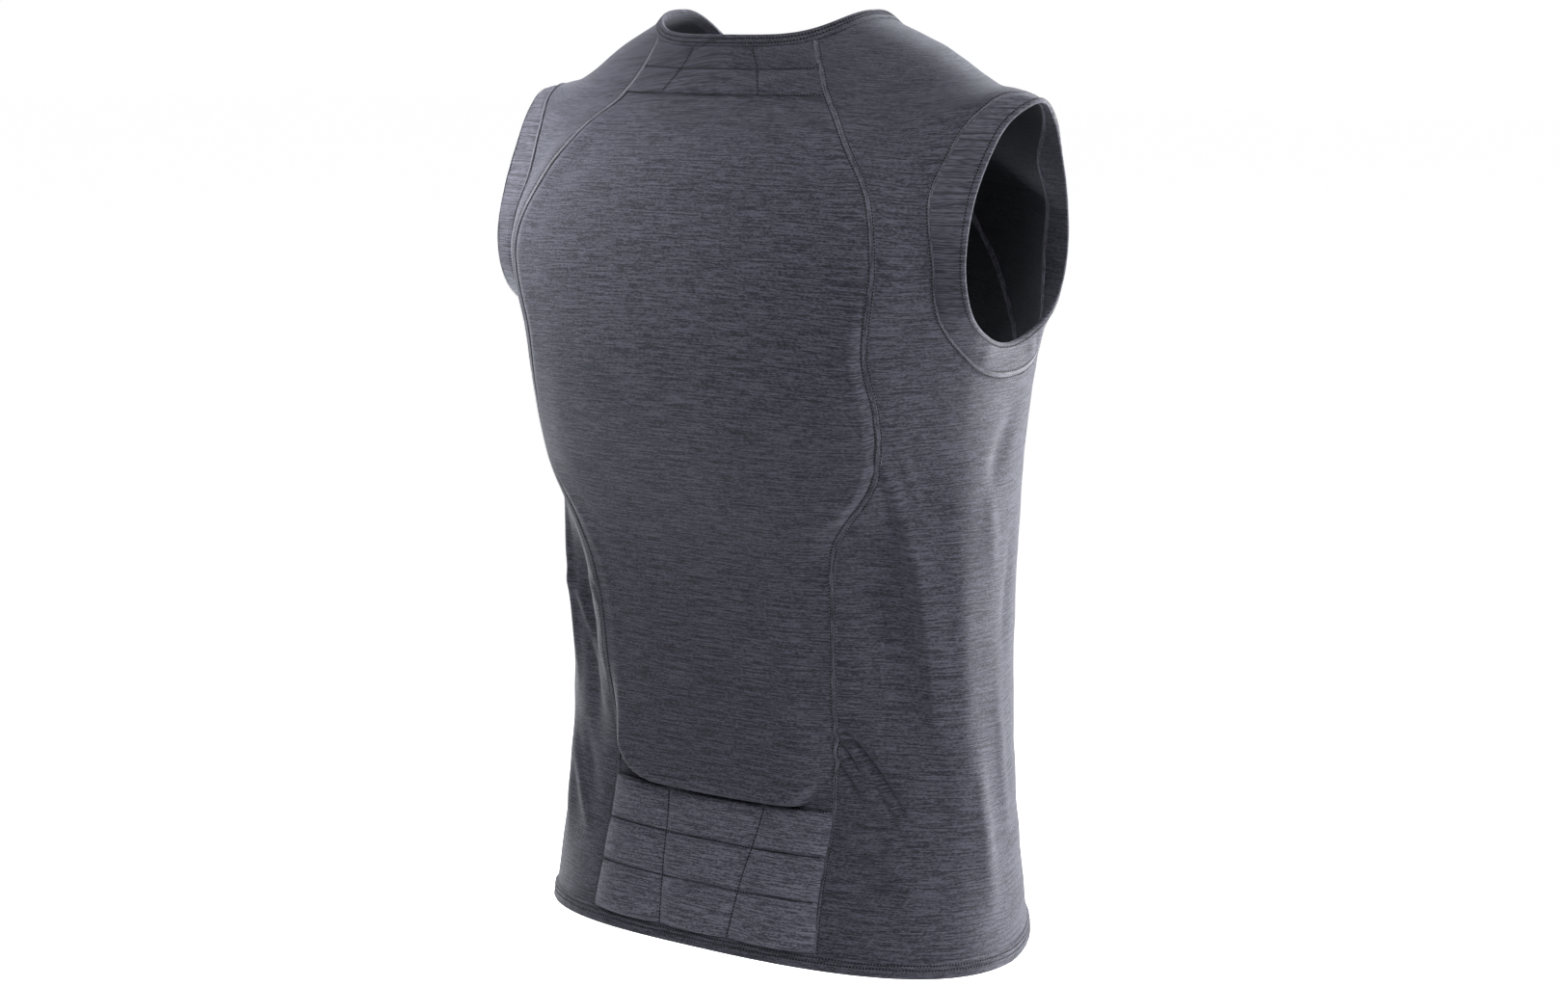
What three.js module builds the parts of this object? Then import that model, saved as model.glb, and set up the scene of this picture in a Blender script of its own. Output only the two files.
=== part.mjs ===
// A sleeveless protector vest, filled out as it is when it is worn, with nobody in it. A long back panel lies
// over a foam protector, with a quilted yoke above it and a quilted lumbar pad below. One panel a side runs from
// the back seam over the shoulder and under the arm to the front seam. Folded bands finish neck, arms and hem.
// Millimetres, +Z up, the chest faces -Y and +X is the wearer's left. The origin lies midway between the two
// points of the shoulders beside the neck, which is where the vest hangs from the body.
import * as THREE from "three";

// Wall thicknesses, and the gap between two pieces at a seam
const CLOTH = 1.6;
const BAND_FOLD = 2.8;
const NECK_FOLD = 2.8;
const HEM_FOLD = 3.2;
const SEAM_GAP = 0.4;

// How far the padding stands out from the figure, and how wide its soft edges are
const PROTECTOR_RISE = 12;
const PROTECTOR_EDGE = 15;
const QUILT_RISE = 5;
const YOKE_RISE = 3;

// The figure as rings from hem to neck. half_width is to the sides, back_y and front_y are behind and before,
// and each has its own height. back_m and front_p say how the height runs from the side to the back and to the
// front, and the round columns are the corner powers of its two halves. Seams are half-widths from the middle.
const RINGS = [
  { name: "hem", half_width: 190, side_y: -5, side_z: -664, back_y: 111, back_z: -657, back_m: 2, front_y: -110, front_z: -634, front_p: 1.3, round_back: 2.35, round_front: 2.35, back_left: 101, back_right: 98, front_seam: 160 },
  { name: "seat", half_width: 185, side_y: -5, side_z: -606, back_y: 97, back_z: -606, back_m: 2, front_y: -102, front_z: -580, front_p: 1.4, round_back: 2.35, round_front: 2.35, back_left: 98, back_right: 95, front_seam: 158 },
  { name: "pad_top", half_width: 181, side_y: -4, side_z: -550, back_y: 82, back_z: -552, back_m: 2, front_y: -94, front_z: -529, front_p: 1.6, round_back: 2.4, round_front: 2.4, back_left: 96, back_right: 93, front_seam: 157 },
  { name: "waist", half_width: 179, side_y: -3, side_z: -480, back_y: 79, back_z: -481, back_m: 2, front_y: -91, front_z: -464, front_p: 2, round_back: 2.4, round_front: 2.4, back_left: 98, back_right: 92, front_seam: 156 },
  { name: "low_back", half_width: 179, side_y: -2, side_z: -410, back_y: 84, back_z: -410, back_m: 2, front_y: -94, front_z: -399, front_p: 2, round_back: 2.4, round_front: 2.4, back_left: 103, back_right: 93, front_seam: 156 },
  { name: "taper", half_width: 180, side_y: -3, side_z: -360, back_y: 92, back_z: -360, back_m: 2, front_y: -99, front_z: -352, front_p: 2, round_back: 2.4, round_front: 2.4, back_left: 121, back_right: 102, front_seam: 156 },
  { name: "ribs", half_width: 181, side_y: -4, side_z: -312, back_y: 107, back_z: -312, back_m: 2, front_y: -105, front_z: -307, front_p: 2, round_back: 2.45, round_front: 2.4, back_left: 150, back_right: 131, front_seam: 156 },
  { name: "chest", half_width: 186, side_y: -3, side_z: -265, back_y: 119, back_z: -267, back_m: 2, front_y: -109, front_z: -266, front_p: 2, round_back: 2.6, round_front: 2.4, back_left: 144, back_right: 134, front_seam: 152 },
  { name: "armpit", half_width: 193, side_y: -2, side_z: -222, back_y: 123, back_z: -226, back_m: 2, front_y: -111, front_z: -232, front_p: 2, round_back: 2.8, round_front: 2.4, back_left: 140, back_right: 132, front_seam: 141 },
  { name: "blade", half_width: 203, side_y: -1, side_z: -162, back_y: 116, back_z: -172, back_m: 2, front_y: -110, front_z: -192, front_p: 2, round_back: 3.2, round_front: 2.4, back_left: 155, back_right: 151, front_seam: 122 },
  { name: "upper", half_width: 213, side_y: -1, side_z: -112, back_y: 103, back_z: -128, back_m: 2, front_y: -105, front_z: -160, front_p: 2.2, round_back: 2.6, round_front: 2.3, back_left: 139, back_right: 133, front_seam: 103 },
  { name: "tip", half_width: 201, side_y: 0, side_z: -60, back_y: 90, back_z: -84, back_m: 6, front_y: -100, front_z: -136, front_p: 2.2, round_back: 2.2, round_front: 2.1, back_left: 114, back_right: 107, front_seam: 88 },
  { name: "slope", half_width: 167, side_y: 1, side_z: -48, back_y: 79, back_z: -57, back_m: 5, front_y: -94, front_z: -118, front_p: 2.4, round_back: 2.15, round_front: 2.1, back_left: 87, back_right: 87, front_seam: 77 },
  { name: "ridge", half_width: 127, side_y: 2, side_z: -24, back_y: 71, back_z: -38, back_m: 4, front_y: -87, front_z: -104, front_p: 2.4, round_back: 2.4, round_front: 2.4, back_left: 73, back_right: 75, front_seam: 69 },
  { name: "neck_seam", half_width: 89, side_y: 4, side_z: -6, back_y: 68, back_z: -24, back_m: 5, front_y: -82, front_z: -90, front_p: 2, round_back: 2.8, round_front: 2.6, back_left: 67, back_right: 66, front_seam: 62 },
  { name: "neck_edge", half_width: 82, side_y: 5, side_z: 0, back_y: 66, back_z: -16, back_m: 5, front_y: -76, front_z: -82, front_p: 2, round_back: 2.8, round_front: 2.6, back_left: 64, back_right: 63, front_seam: 60 },
];
const ringAt = (name) => RINGS.findIndex((ring) => ring.name === name);
const LAST_RING = RINGS.length - 1;

// The two edges of each armhole band, from the top of the shoulder round the back and under the arm: seam is
// where the band is sewn to the side panel, and edge is the fold that the arm comes through, which stands away.
const ARMHOLE = [
  { name: "top", seam_y: 12, seam_z: -56, edge_x: 213, edge_y: 5, edge_z: -60 },
  { name: "top_back", seam_y: 40, seam_z: -69, edge_x: 206, edge_y: 33, edge_z: -72 },
  { name: "high_back", seam_y: 62, seam_z: -96, edge_x: 202, edge_y: 53, edge_z: -96 },
  { name: "mid_back", seam_y: 79, seam_z: -130, edge_x: 200, edge_y: 70, edge_z: -128 },
  { name: "back", seam_y: 83, seam_z: -166, edge_x: 200, edge_y: 78, edge_z: -165 },
  { name: "low_back", seam_y: 74, seam_z: -204, edge_x: 199, edge_y: 68, edge_z: -196 },
  { name: "under_back", seam_y: 40, seam_z: -236, edge_x: 194, edge_y: 38, edge_z: -215 },
  { name: "under", seam_y: 2, seam_z: -243, edge_x: 188, edge_y: 2, edge_z: -222 },
  { name: "under_front", seam_y: -32, seam_z: -234, edge_x: 190, edge_y: -28, edge_z: -214 },
  { name: "low_front", seam_y: -57, seam_z: -205, edge_x: 197, edge_y: -46, edge_z: -196 },
  { name: "front", seam_y: -68, seam_z: -165, edge_x: 202, edge_y: -51, edge_z: -165 },
  { name: "mid_front", seam_y: -66, seam_z: -128, edge_x: 203, edge_y: -48, edge_z: -128 },
  { name: "high_front", seam_y: -60, seam_z: -97, edge_x: 204, edge_y: -38, edge_z: -96 },
  { name: "top_front", seam_y: -27, seam_z: -65, edge_x: 208, edge_y: -20, edge_z: -72 },
];

// The large folds of the worn cloth, each a soft ridge or trough along a line. Degrees run round the body from
// the wearer's left side (0) by the back (90) to the right side (180) and the front (270).
const FOLDS = [
  { name: "right_drape", from_deg: 137, to_deg: 152, from_ring: 6.3, to_ring: 2.4, half_width: 14, height: 5 },
  { name: "right_hollow", from_deg: 128, to_deg: 138, from_ring: 5.3, to_ring: 2.8, half_width: 13, height: -3.5 },
  { name: "right_under_arm", from_deg: 186, to_deg: 166, from_ring: 7.1, to_ring: 5.4, half_width: 15, height: -3 },
  { name: "right_low", from_deg: 163, to_deg: 172, from_ring: 2.8, to_ring: 0.6, half_width: 16, height: 3.5 },
  { name: "left_drape", from_deg: 38, to_deg: 55, from_ring: 5.0, to_ring: 2.6, half_width: 12, height: 4.5 },
  { name: "left_hollow", from_deg: 44, to_deg: 57, from_ring: 4.2, to_ring: 1.7, half_width: 11, height: -3 },
  { name: "left_low", from_deg: 32, to_deg: 40, from_ring: 2.6, to_ring: 0.7, half_width: 13, height: 3.5 },
  { name: "left_under_arm", from_deg: -8, to_deg: 12, from_ring: 7.1, to_ring: 5.2, half_width: 15, height: -3 },
  { name: "front_waist_right", from_deg: 236, to_deg: 250, from_ring: 4.4, to_ring: 1.1, half_width: 17, height: 4 },
  { name: "front_waist_left", from_deg: 306, to_deg: 291, from_ring: 4.9, to_ring: 1.6, half_width: 16, height: 3.5 },
  { name: "front_chest_right", from_deg: 214, to_deg: 228, from_ring: 7.4, to_ring: 5.6, half_width: 14, height: -3 },
  { name: "front_chest_left", from_deg: 325, to_deg: 312, from_ring: 7.5, to_ring: 5.4, half_width: 14, height: -3 },
];
const FOLD_DEGREE = 3.2;
const FOLD_RING = 55;

// A smooth curve through four values, from the second at t = 0 to the third at t = 1
function curve(p0, p1, p2, p3, t) {
  const t2 = t * t;
  const t3 = t2 * t;
  const rise = (2 * t3 - 3 * t2 + 1) * p1 + (3 * t2 - 2 * t3) * p2;
  return rise + ((t3 - 2 * t2 + t) * (p2 - p0) + (t3 - t2) * (p3 - p1)) / 2;
}

// One column of the ring table at any place v between its rows
function column(key, v) {
  const i = Math.min(Math.floor(Math.max(v, 0)), LAST_RING - 1);
  const at = (k) => RINGS[Math.min(Math.max(k, 0), LAST_RING)][key];
  return curve(at(i - 1), at(i), at(i + 1), at(i + 2), v - i);
}

// One column of the armhole table at u, which counts its rows and goes round
function armholeColumn(key, u) {
  const count = ARMHOLE.length;
  const i = Math.floor(u);
  const at = (k) => ARMHOLE[(k + 2 * count) % count][key];
  return curve(at(i - 1), at(i), at(i + 1), at(i + 2), u - i);
}

// The plain figure at angle theta round the body on ring v
function figure(theta, v) {
  const c = Math.cos(theta);
  const s = Math.sin(theta);
  const behind = s >= 0;
  const n = column(behind ? "round_back" : "round_front", v);
  const k = Math.pow(Math.pow(Math.abs(c), n) + Math.pow(Math.abs(s), n), -1 / n);
  const sideY = column("side_y", v);
  const sideZ = column("side_z", v);
  const depth = Math.abs(column(behind ? "back_y" : "front_y", v) - sideY);
  const drop = column(behind ? "back_z" : "front_z", v) - sideZ;
  const share = behind
    ? 1 - Math.pow(Math.abs(k * c), column("back_m", v))
    : Math.pow(Math.abs(k * s), column("front_p", v));
  return new THREE.Vector3(column("half_width", v) * k * c, sideY + depth * k * s, sideZ + drop * share);
}

// The angle from the side at which the back or front half of ring v has the half-width x
function angleOfWidth(x, v, half) {
  const n = column(`round_${half}`, v);
  const across = x / column("half_width", v);
  return Math.atan2(Math.pow(1 - Math.pow(across, n), 1 / n), across);
}

// The angle from the side at which ring v has the depth y
function angleOfDepth(y, v) {
  const off = y - column("side_y", v);
  const half = off > 0 ? "back" : "front";
  const n = column(`round_${half}`, v);
  const share = Math.min(Math.abs(off / (column(`${half}_y`, v) - column("side_y", v))), 1);
  return Math.sign(off) * Math.atan2(share, Math.pow(1 - Math.pow(share, n), 1 / n));
}

// How far the folds lift the cloth at a place
function foldHeight(theta, v) {
  const degrees = THREE.MathUtils.radToDeg(theta);
  let height = 0;
  for (const fold of FOLDS) {
    const across = (((degrees - fold.from_deg + 540) % 360 + 360) % 360 - 180) * FOLD_DEGREE;
    const up = (v - fold.from_ring) * FOLD_RING;
    const runAcross = (fold.to_deg - fold.from_deg) * FOLD_DEGREE;
    const runUp = (fold.to_ring - fold.from_ring) * FOLD_RING;
    const t = (across * runAcross + up * runUp) / (runAcross * runAcross + runUp * runUp);
    if (t <= 0 || t >= 1) continue;
    const away = Math.hypot(across - t * runAcross, up - t * runUp) / fold.half_width;
    height += fold.height * Math.pow(Math.sin(Math.PI * t), 1.2) * Math.exp(-away * away);
  }
  return height;
}

const STEP = 1e-3;
// The outward normal of a surface that is given as a function of theta and v
function normalOf(surface, theta, v) {
  const round = surface(theta + STEP, v).sub(surface(theta - STEP, v));
  const up = surface(theta, Math.min(v + STEP, LAST_RING)).sub(surface(theta, Math.max(v - STEP, 0)));
  return round.cross(up).normalize();
}

// The inner face of the cloth: the figure with its folds
function cloth(theta, v) {
  return figure(theta, v).addScaledVector(normalOf(figure, theta, v), foldHeight(theta, v));
}

const lerp = (a, b, t) => a + (b - a) * t;
const steps = (count) => Array.from({ length: count + 1 }, (_, i) => i / count);
function soften(t) {
  const u = Math.min(Math.max(t, 0), 1);
  return u * u * (3 - 2 * u);
}

const onCloth = (theta, v) => ({ point: cloth(theta, v), normal: normalOf(cloth, theta, v) });

// A closed wall of one piece. grids are blocks of rows of places [a, b, offset], written so that the rows go up
// where the columns go round the body. Blocks that share places are joined. locate turns a and b, which are the
// angle and the ring unless it says otherwise, into a point of the inner face and its normal, and the outer face
// stands off by each place's own offset.
function wall(name, grids, material, locate = onCloth) {
  const places = [];
  const known = new Map();
  const faces = [];
  const placeOf = (place) => {
    const key = `${place[0].toFixed(6)} ${place[1].toFixed(6)}`;
    if (!known.has(key)) known.set(key, places.push(place) - 1);
    return known.get(key);
  };
  for (const rows of grids) {
    const numbers = rows.map((row) => row.map(placeOf));
    for (let r = 0; r + 1 < rows.length; r++) {
      for (let k = 0; k + 1 < rows[r].length; k++) {
        const [a, b] = [numbers[r][k], numbers[r][k + 1]];
        const [d, c] = [numbers[r + 1][k], numbers[r + 1][k + 1]];
        faces.push([a, b, c], [a, c, d]);
      }
    }
  }
  const count = places.length;
  const positions = new Float32Array(count * 6);
  places.forEach(([a, b, offset], i) => {
    const { point, normal } = locate(a, b);
    point.toArray(positions, (count + i) * 3);
    point.addScaledVector(normal, offset).toArray(positions, i * 3);
  });
  const index = [];
  const rim = new Map();
  for (const [a, b, c] of faces) {
    index.push(a, b, c, count + a, count + c, count + b);
    for (const [p, q] of [[a, b], [b, c], [c, a]]) {
      if (!rim.delete(`${q} ${p}`)) rim.set(`${p} ${q}`, [p, q]);
    }
  }
  for (const [p, q] of rim.values()) index.push(q, p, count + p, q, count + p, count + q);
  const geometry = new THREE.BufferGeometry();
  geometry.setAttribute("position", new THREE.BufferAttribute(positions, 3));
  geometry.setIndex(index);
  geometry.computeVertexNormals();
  const mesh = new THREE.Mesh(geometry, material);
  mesh.name = name;
  return mesh;
}

// Where the pieces meet, as places along the rings
const HEM_SEAM = 0.29;
const PAD_TOP = ringAt("pad_top");
const YOKE_LINE = ringAt("slope");
const NECK_SEAM = ringAt("neck_seam");
const UNDER_ARM = ringAt("chest");
const RING_GAP = 0.004;
const NECK_GAP = 0.012;

// Rows along the long seams, the same on both sides of each seam
const LOWER_ROWS = [HEM_SEAM + RING_GAP, 0.5, 0.8, 1.1, 1.4, 1.7, PAD_TOP, 2.08, 2.17, 2.32, 2.6, 3, 3.4, 3.8, 4.2,
  4.6, 5, 5.35, 5.7, 6, 6.35, 6.7, UNDER_ARM];
const UPPER_ROWS = [UNDER_ARM, 7.4, 7.8, 8.2, 8.6, 9, 9.4, 9.8, 10.2, 10.6, 11, 11.35, 11.7, YOKE_LINE, 12.4, 12.8,
  13.4, NECK_SEAM - NECK_GAP];
const ALL_ROWS = [...LOWER_ROWS, ...UPPER_ROWS.slice(1)];
const SIDE_COLUMNS = steps(16);
const SHOULDER_COLUMNS = steps(7);
const FRONT_COLUMNS = steps(10);
const BACK_COLUMNS = [0, 0.018, 0.045, 0.08, 0.13, 0.19, 0.28, 0.39, 0.5, 0.61, 0.72, 0.81, 0.87, 0.92, 0.955, 0.982, 1];

// The angle of a long seam on the wearer's left (side 1) or right (side -1), counted from that side. The front
// seams have negative angles. inset moves the angle round from the front, in millimetres.
const HALF_GAP = SEAM_GAP / 2;
const around = (side, angle) => (side > 0 ? angle : Math.PI - angle);
const sideAngle = (side, [angle, v]) => [around(side, angle), v];
function seamAngle(kind, side, v, inset) {
  const key = kind === "front" ? "front_seam" : side > 0 ? "back_left" : "back_right";
  const angle = angleOfWidth(column(key, v), v, kind) * (kind === "front" ? -1 : 1);
  const perRadian = figure(angle + STEP, v).distanceTo(figure(angle - STEP, v)) / (2 * STEP);
  return angle + inset / perRadian;
}

// One row across the back, from the left seam to the right one. offsetAt gives the outer face's offset.
function backRow(v, shares, offsetAt) {
  const left = around(1, seamAngle("back", 1, v, HALF_GAP));
  const right = around(-1, seamAngle("back", -1, v, HALF_GAP));
  return shares.map((share) => [lerp(left, right, share), v, offsetAt(share, v)]);
}

// One row across the front, from the right seam to the left one
function frontRow(v, shares, offset) {
  const right = around(-1, seamAngle("front", -1, v, -HALF_GAP));
  const left = around(1, seamAngle("front", 1, v, -HALF_GAP)) + 2 * Math.PI;
  return shares.map((share) => [lerp(right, left, share), v, offset]);
}

// One row across a side, from the front seam to the back one, as angles from that side
function sideRow(side, v, shares, offset) {
  const front = seamAngle("front", side, v, HALF_GAP);
  const back = seamAngle("back", side, v, -HALF_GAP);
  return shares.map((share) => [lerp(front, back, share), v, offset]);
}

// Rows of one side put on the body. On the wearer's right the columns are turned round.
function onSide(side, rows) {
  const placed = rows.map((row) => row.map(([angle, v, offset]) => [around(side, angle), v, offset]));
  return side > 0 ? placed : placed.map((row) => row.reverse());
}

// The place near the side of the figure that has a given depth and height
function sidePlace(y, z) {
  let low = 5;
  let high = NECK_SEAM;
  for (let i = 0; i < 40; i++) {
    const middle = (low + high) / 2;
    if (figure(angleOfDepth(y, middle), middle).z < z) low = middle;
    else high = middle;
  }
  return [angleOfDepth(y, low), low];
}
const armholeSeam = (u) => sidePlace(armholeColumn("seam_y", u), armholeColumn("seam_z", u));

// The side panel's inner rim: its places lie off the armhole seam by half a gap, away from the armhole
const ARMHOLE_MIDDLE = { angle: 0, ring: 9.4, angle_reach: 0.6, ring_reach: 2.1 };
function panelRimPlace(u) {
  const [angle, v] = armholeSeam(u);
  const middle = [ARMHOLE_MIDDLE.angle, ARMHOLE_MIDDLE.ring];
  const out = HALF_GAP / figure(angle, v).distanceTo(figure(...middle));
  return [lerp(angle, middle[0], -out), lerp(v, middle[1], -out), CLOTH];
}

// The armhole band's inner face at u round it and a share of the way from seam to edge. Next to the seam its
// normal is the panel's, so that the two raw edges lie side by side.
function armholeBand(side) {
  const mirror = new THREE.Vector3(side, 1, 1);
  const surface = (u, share) => {
    const seam = cloth(...sideAngle(side, armholeSeam(u))).multiply(mirror);
    const edge = new THREE.Vector3(armholeColumn("edge_x", u), armholeColumn("edge_y", u), armholeColumn("edge_z", u));
    return seam.lerp(edge, share + (1 - share) * (HALF_GAP / seam.distanceTo(edge)));
  };
  return (u, share) => {
    const [angle, v] = sideAngle(side, armholeSeam(u));
    const panel = normalOf(cloth, angle, v).multiply(mirror);
    const round = surface(u + STEP, share).sub(surface(u - STEP, share));
    const own = round.cross(surface(u, 0).sub(surface(u, 1))).normalize();
    const normal = panel.lerp(own, soften(share / 0.3)).normalize();
    return { point: surface(u, share).multiply(mirror), normal: normal.multiply(mirror) };
  };
}

// Bearings from a point inside the armhole match places on its seam to places on the side panel's rim
function bearing([angle, v]) {
  const middle = ARMHOLE_MIDDLE;
  return Math.atan2((v - middle.ring) / middle.ring_reach, (angle - middle.angle) / middle.angle_reach);
}
const SEAM_TURNS = steps(560).map((share) => {
  const u = share * ARMHOLE.length;
  return { u, bearing: bearing(armholeSeam(u)) };
});
function turnAt(wanted) {
  const off = (turn) => Math.abs(Math.atan2(Math.sin(turn.bearing - wanted), Math.cos(turn.bearing - wanted)));
  return SEAM_TURNS.reduce((best, turn) => (off(turn) < off(best) ? turn : best)).u;
}

// The side panel's rim above the underarm row, once round: underarm, back seam, neck, front seam
function panelRim(side) {
  const under = sideRow(side, UNDER_ARM, SIDE_COLUMNS, CLOTH);
  const back = UPPER_ROWS.map((v) => [seamAngle("back", side, v, -HALF_GAP), v, CLOTH]);
  const neck = sideRow(side, UPPER_ROWS.at(-1), SHOULDER_COLUMNS, CLOTH).reverse();
  const front = UPPER_ROWS.map((v) => [seamAngle("front", side, v, HALF_GAP), v, CLOTH]).reverse();
  return [...under, ...back.slice(1), ...neck.slice(1), ...front.slice(1)];
}

const fabric = (name, colour) =>
  Object.assign(new THREE.MeshStandardMaterial({ color: colour, roughness: 0.85, metalness: 0 }), { name });
const PANEL_CLOTH = fabric("panel_cloth", 0x43434d);
const BAND_CLOTH = fabric("band_cloth", 0x4b4a4f);

const vest = new THREE.Group();
vest.name = "protector_vest";

// The back panel. The protector under it has its full height inside an outline that follows the seams and ends
// below in a broad U, and it fades out towards the yoke.
function protectorRise(share, v) {
  const left = around(1, seamAngle("back", 1, v, 0));
  const right = around(-1, seamAngle("back", -1, v, 0));
  const here = figure(lerp(left, right, share), v);
  const seam = figure(share < 0.5 ? left : right, v);
  const fromSeam = Math.hypot(here.x - seam.x, here.y - seam.y) - 3;
  const fromPad = here.z - figure(Math.PI / 2, PAD_TOP).z - 5 - 46 * Math.pow(Math.abs(2 * share - 1), 5);
  const fromYoke = figure(Math.PI / 2, YOKE_LINE).z - here.z;
  const edge = PROTECTOR_EDGE * lerp(1.5, 1, soften((v - 4) / 2));
  return PROTECTOR_RISE * soften(fromSeam / edge) * soften(fromPad / 13) * soften(fromYoke / 70);
}
const backRows = ALL_ROWS.filter((v) => v > PAD_TOP && v < YOKE_LINE);
vest.add(
  wall(
    "back_panel",
    [
      [PAD_TOP + RING_GAP, ...backRows, YOKE_LINE - RING_GAP].map((v) =>
        backRow(v, BACK_COLUMNS, (share) => CLOTH + protectorRise(share, v)),
      ),
    ],
    PANEL_CLOTH,
  ),
);

// The quilted pads. Their grids lie close to the stitched lines and wide between them, and each cell between
// four lines is a pillow. Lines across are rings, lines upwards are shares of the width at bottom and top.
const CELL_SHARES = [0, 0.06, 0.22, 0.5, 0.78, 0.94];
const PADS = [
  { name: "lumbar_pad", rows: [HEM_SEAM + RING_GAP, 0.86, 1.43, PAD_TOP - RING_GAP], bottom: [0, 0.35, 0.65, 1], top: [0, 0.28, 0.72, 1], rise: QUILT_RISE },
  { name: "upper_back_pad", rows: [YOKE_LINE + RING_GAP, 12.9, NECK_SEAM - NECK_GAP], bottom: [0, 0.22, 0.7, 1], top: [0, 0.3, 0.67, 1], rise: YOKE_RISE },
];
const padNamed = (name) => PADS.find((pad) => pad.name === name);
const cellShares = (lines) =>
  [...lines.slice(0, -1).flatMap((line, i) => CELL_SHARES.map((share) => lerp(line, lines[i + 1], share))), lines.at(-1)];
const cellPillow = (share) => Math.sqrt(1 - Math.pow(Math.abs(2 * share - 1), 5));
function pillowAt(lines, place) {
  const i = Math.min(Math.max(lines.findLastIndex((line) => line <= place + 1e-9), 0), lines.length - 2);
  return cellPillow(Math.min(Math.max((place - lines[i]) / (lines[i + 1] - lines[i]), 0), 1));
}
function padLines(pad, v) {
  const up = (v - pad.rows[0]) / (pad.rows.at(-1) - pad.rows[0]);
  return pad.bottom.map((line, i) => lerp(line, pad.top[i], up));
}
for (const pad of PADS) {
  const rows = cellShares(pad.rows).map((v) => {
    const lines = padLines(pad, v);
    const height = pad.rise * pillowAt(pad.rows, v);
    return backRow(v, cellShares(lines), (share) => CLOTH + height * pillowAt(lines, share));
  });
  vest.add(wall(pad.name, [rows], PANEL_CLOTH));
}

// The front panel
vest.add(wall("front_panel", [ALL_ROWS.map((v) => frontRow(v, FRONT_COLUMNS, CLOTH))], PANEL_CLOTH));

// The side panels and the bands of their armholes. The rings of the panel close in on the armhole.
const PANEL_RINGS = steps(6);
const BAND_RINGS = [
  { share: 0, offset: 2.3 },
  { share: 0.3, offset: BAND_FOLD },
  { share: 0.85, offset: BAND_FOLD },
  { share: 1, offset: 1.8 },
];
for (const [side, name] of [[1, "left"], [-1, "right"]]) {
  const rim = panelRim(side);
  const turns = rim.map((place) => turnAt(bearing(place)));
  const closed = (ring) => [...ring.slice(0, -1), ring[0]];
  const inner = turns.map(panelRimPlace);
  const between = PANEL_RINGS.map((share) =>
    closed(rim.map((place, i) => [lerp(place[0], inner[i][0], share), lerp(place[1], inner[i][1], share), CLOTH])),
  );
  const lower = LOWER_ROWS.map((v) => sideRow(side, v, SIDE_COLUMNS, CLOTH));
  vest.add(wall(`side_panel_${name}`, [onSide(side, lower), onSide(side, between)], PANEL_CLOTH));
  const band = BAND_RINGS.map(({ share, offset }) => closed(turns.map((u) => [u, share, offset])));
  const facing = side > 0 ? band : band.map((row) => row.reverse());
  vest.add(wall(`armhole_band_${name}`, [facing], BAND_CLOTH, armholeBand(side)));
}

// The bands that go round the whole body: each row takes up the places of the pieces it is sewn to
function ringRow(v, backShares, sideShares, frontShares, offset) {
  const pieces = [
    backRow(v, backShares, () => offset),
    onSide(-1, [sideRow(-1, v, sideShares, offset)])[0],
    frontRow(v, frontShares, offset),
    onSide(1, [sideRow(1, v, sideShares, offset)])[0],
  ];
  const row = pieces.flatMap((piece) => piece.slice(0, -1));
  return [...row, row[0]];
}
const HEM_ROWS = [
  { ring: 0, offset: 2 },
  { ring: 0.035, offset: HEM_FOLD },
  { ring: 0.15, offset: HEM_FOLD },
  { ring: HEM_SEAM - RING_GAP, offset: 2.6 },
];
const hemShares = cellShares(padNamed("lumbar_pad").bottom);
vest.add(
  wall("hem_band", [HEM_ROWS.map((row) => ringRow(row.ring, hemShares, SIDE_COLUMNS, FRONT_COLUMNS, row.offset))], BAND_CLOTH),
);
const NECK_ROWS = [
  { ring: NECK_SEAM + NECK_GAP, offset: 2.3 },
  { ring: 14.3, offset: NECK_FOLD },
  { ring: 14.8, offset: NECK_FOLD },
  { ring: LAST_RING, offset: 1.8 },
];
const neckShares = cellShares(padNamed("upper_back_pad").top);
vest.add(
  wall("neck_binding", [NECK_ROWS.map((row) => ringRow(row.ring, neckShares, SHOULDER_COLUMNS, FRONT_COLUMNS, row.offset))], BAND_CLOTH),
);

export default vest;
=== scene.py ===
# A sleeveless protector vest of dark heathered jersey, filled out as when it is worn, with nobody in it.
# It faces -Y, +X is the wearer's left, and the origin lies between the shoulder points beside the neck.
import math

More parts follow.
